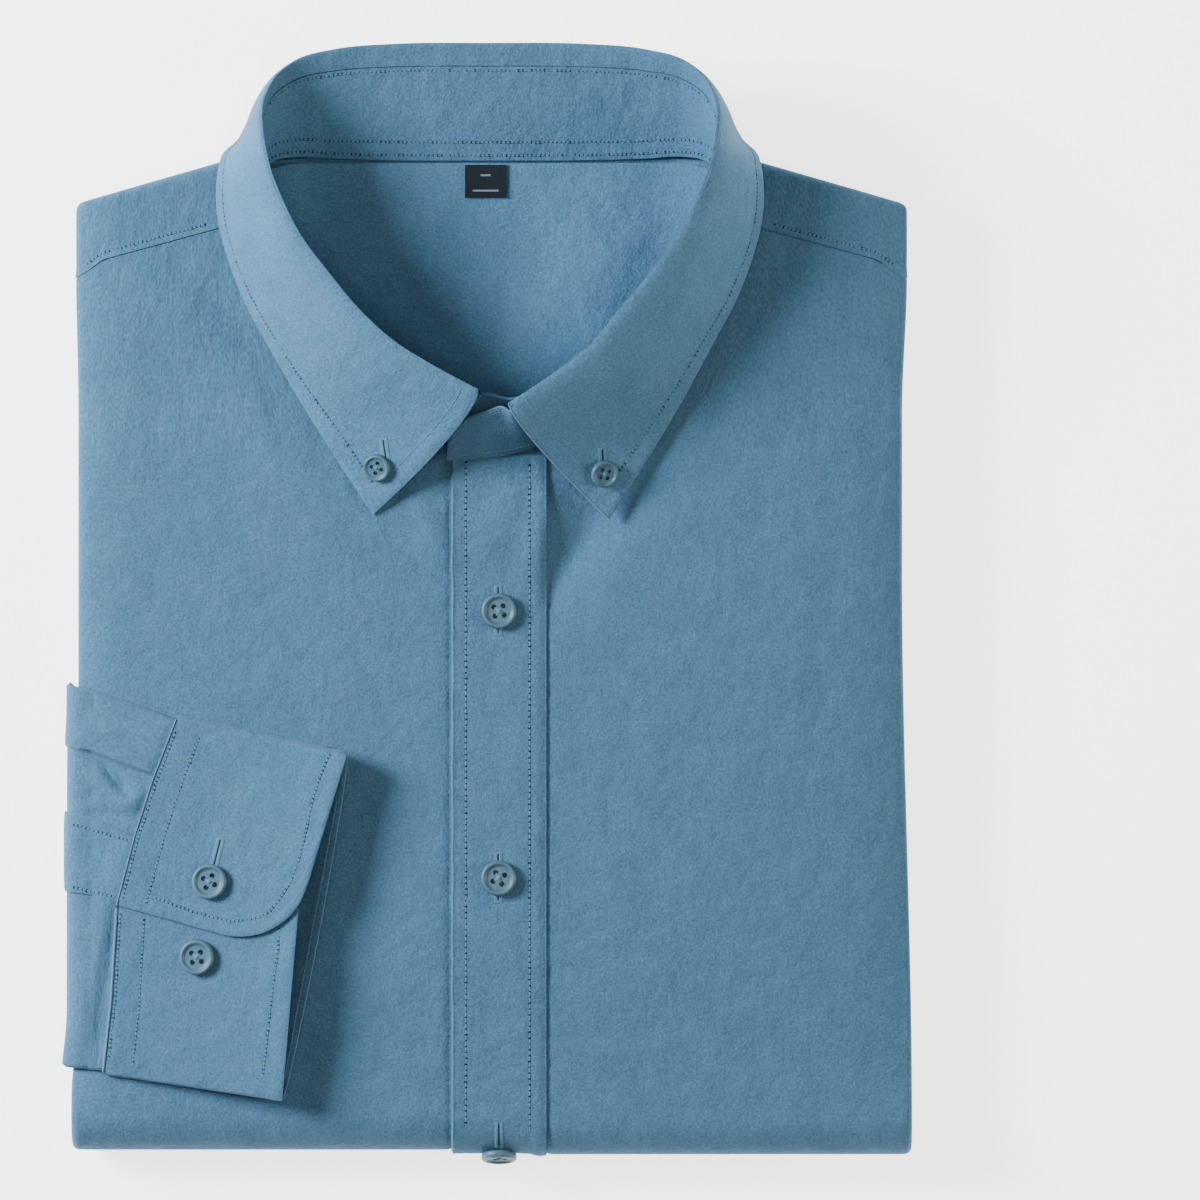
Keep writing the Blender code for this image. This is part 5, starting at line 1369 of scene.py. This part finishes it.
def marks(material, scale, detail, low, high):
    """Noise on the cloth's own coordinates, spread from 0 to 1 between two of its levels."""
    nodes, links = material.node_tree.nodes, material.node_tree.links
    place = nodes.new("ShaderNodeUVMap")
    place.uv_map = "cloth"
    noise = nodes.new("ShaderNodeTexNoise")
    set_inputs(noise, Scale=scale, Detail=detail, Roughness=0.6)
    level = nodes.new("ShaderNodeMapRange")
    set_inputs(level, From_Min=low, From_Max=high)
    links.new(place.outputs["UV"], noise.inputs["Vector"])
    links.new(noise.outputs["Fac"], level.inputs["Value"])
    return level.outputs["Result"]


def blend(material, first, second, share, kind="MIX"):
    """One colour over another. share is a socket, and first is a socket or a colour."""
    node = material.node_tree.nodes.new("ShaderNodeMix")
    node.data_type = "RGBA"
    node.blend_type = kind
    set_inputs(node, B=(*second, 1.0))
    if isinstance(first, tuple):
        set_inputs(node, A=(*first, 1.0))
    else:
        material.node_tree.links.new(first, node.inputs["A"])
    material.node_tree.links.new(share, node.inputs["Factor"])
    return node.outputs["Result"]


def bumped(material, height, distance, strength, under=None):
    """Relief from a height, over another relief if there is one."""
    node = material.node_tree.nodes.new("ShaderNodeBump")
    set_inputs(node, Strength=strength, Distance=distance)
    material.node_tree.links.new(height, node.inputs["Height"])
    if under is not None:
        material.node_tree.links.new(under, node.inputs["Normal"])
    return node.outputs["Normal"]


# Over the warp and weft: colour, noise with its scale, detail and two levels, and how it is laid on.
MOTTLES = (
    (FLECK, (900.0, 4.0, 0.62, 0.9), "MIX"),
    ((0.87, 0.89, 0.91), (420.0, 4.0, 0.35, 0.65), "MULTIPLY"),
    ((0.84, 0.86, 0.88), (80.0, 6.0, 0.3, 0.7), "MULTIPLY"),
    ((1.12, 0.98, 1.0), (26.0, 3.0, 0.4, 0.7), "MULTIPLY"),
)


def chambray(name, painted_light=1.0):
    """Fine cloth of dyed warp and white weft: specked, softly mottled and a little fuzzy."""
    material, shader = new_shader(name)
    links = material.node_tree.links
    specks = marks(material, 1300.0, 3.0, 0.3, 0.7)
    # painted_light above 1 makes a paler, lit copy of the cloth: painted light.
    colour = blend(material, tuple(painted_light * c for c in WARP), tuple(painted_light * c for c in WEFT), specks)
    for over, noise, kind in MOTTLES:
        over = tuple(painted_light * c for c in over) if kind == "MIX" else over
        colour = blend(material, colour, over, marks(material, *noise), kind)
    links.new(colour, shader.inputs["Base Color"])
    uneven = bumped(material, marks(material, 110.0, 7.0, 0.0, 1.0), 0.0022, 0.6)
    links.new(bumped(material, specks, 0.00018, 0.5, uneven), shader.inputs["Normal"])
    set_inputs(shader, Roughness=0.88, Specular_IOR_Level=0.2)
    set_inputs(shader, Sheen_Weight=0.12, Sheen_Roughness=0.5, Sheen_Tint=(0.5, 0.78, 1.0, 1.0))
    return material


def plain(name, colour, roughness, grain, scale, specular):
    """A finish with a fine grain of its own colour."""
    material, shader = new_shader(name)
    nodes, links = material.node_tree.nodes, material.node_tree.links
    place = nodes.new("ShaderNodeTexCoord")
    noise = nodes.new("ShaderNodeTexNoise")
    set_inputs(noise, Scale=scale, Detail=3.0)
    links.new(place.outputs["Object"], noise.inputs["Vector"])
    dark, light = ([min(1.0, c * level) for c in colour] for level in (1.0 - grain, 1.0 + grain))
    tint = blend(material, tuple(dark), light, noise.outputs["Fac"])
    links.new(tint, shader.inputs["Base Color"])
    set_inputs(shader, Roughness=roughness, Specular_IOR_Level=specular)
    return material


# ---------------------------------------------------------------- floor, light and camera
def floor():
    mesh = bpy.data.meshes.new("floor")
    corners = [(x * FLOOR_HALF, y * FLOOR_HALF, 0.0) for x, y in ((-1, -1), (1, -1), (1, 1), (-1, 1))]
    mesh.from_pydata(corners, [], [(0, 1, 2, 3)])
    material, shader = new_shader("floor")
    set_inputs(shader, Base_Color=(*FLOOR_COLOUR, 1.0), Roughness=1.0, Specular_IOR_Level=0.0)
    set_inputs(shader, Emission_Color=(1.0, 1.0, 1.0, 1.0), Emission_Strength=FLOOR_GLOW)
    mesh.materials.append(material)
    placed("floor", mesh)


def lamp(name, place, target, size, power, colour):
    light = bpy.data.lights.new(name, "AREA")
    light.shape = "DISK"
    light.size = size
    light.energy = power
    light.color = colour
    thing = placed(name, light)
    thing.location = place
    thing.rotation_mode = "QUATERNION"
    thing.rotation_quaternion = (Vector(target) - Vector(place)).to_track_quat("-Z", "Y")


def light_and_camera():
    world = bpy.data.worlds.new("studio")
    world.use_nodes = True
    set_inputs(world.node_tree.nodes["Background"], Color=(*FILL_COLOUR, 1.0), Strength=FILL)
    bpy.context.scene.world = world
    for name, values in LAMPS.items():
        lamp(name, *values)
    camera = bpy.data.cameras.new("camera")
    camera.lens, camera.sensor_width = CAMERA_LENS, CAMERA_SENSOR
    camera.clip_start, camera.clip_end = CAMERA_CLIP
    thing = placed("camera", camera)
    thing.location = CAMERA_PLACE
    bpy.context.scene.camera = thing


# ---------------------------------------------------------------- the shirt
def main():
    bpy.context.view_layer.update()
    cloth = chambray("chambray")
    # The collar and the inner yoke get the paler copy of the cloth: painted light where the lamps leave them
    # too dark.
    lit_paler_cloth = chambray("chambray_painted_lighter", PAINTED_LIGHT_GAIN)
    # dark is the near-black finish: painted shade in needle holes and buttonhole slits.
    horn, thread, pale, dark, navy, grey = (plain(name, *looks) for name, looks in FINISHES.items())

    hidden_layers(cloth)
    front_panel("front_right_cloth", -1.0, cloth)
    front_panel("front_left_cloth", 1.0, cloth)
    strip = placket(cloth)
    yoke = yoke_outer(cloth)
    yoke_inner(lit_paler_cloth)
    neck_label(navy, grey)
    leaf, collar_lines = collar(lit_paler_cloth)
    sleeve_tube(cloth)
    opening = gauntlet(cloth)
    cuff_piece, cuff_edges = cuff(cloth)
    carriers = {"placket": strip, "yoke": yoke, "leaf": leaf, "cuff": cuff_piece, "gauntlet": opening}
    trees = {name: tree_of(thing) for name, thing in carriers.items()}
    all_buttons(trees, horn, pale)
    all_buttonholes(trees, pale, dark)
    all_stitches(trees, collar_lines, thread, pale, dark)
    # The turned edges of the collar and the cuff are drawn in pale thread: painted highlights.
    for number, line in enumerate(collar_lines["edges"]):
        highlight_edge(f"collar_edge_{number}", line, EDGE_R, pale)
    for name, line in cuff_edges.items():
        highlight_edge(f"cuff_edge_{name}", line, CUFF_EDGE_R[name], pale)
    floor()
    light_and_camera()


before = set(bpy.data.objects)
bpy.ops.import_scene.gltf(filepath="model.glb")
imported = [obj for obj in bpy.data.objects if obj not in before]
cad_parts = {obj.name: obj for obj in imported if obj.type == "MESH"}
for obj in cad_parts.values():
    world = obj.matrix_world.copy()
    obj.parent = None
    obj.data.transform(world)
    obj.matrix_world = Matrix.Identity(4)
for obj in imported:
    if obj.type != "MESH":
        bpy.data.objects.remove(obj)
main()
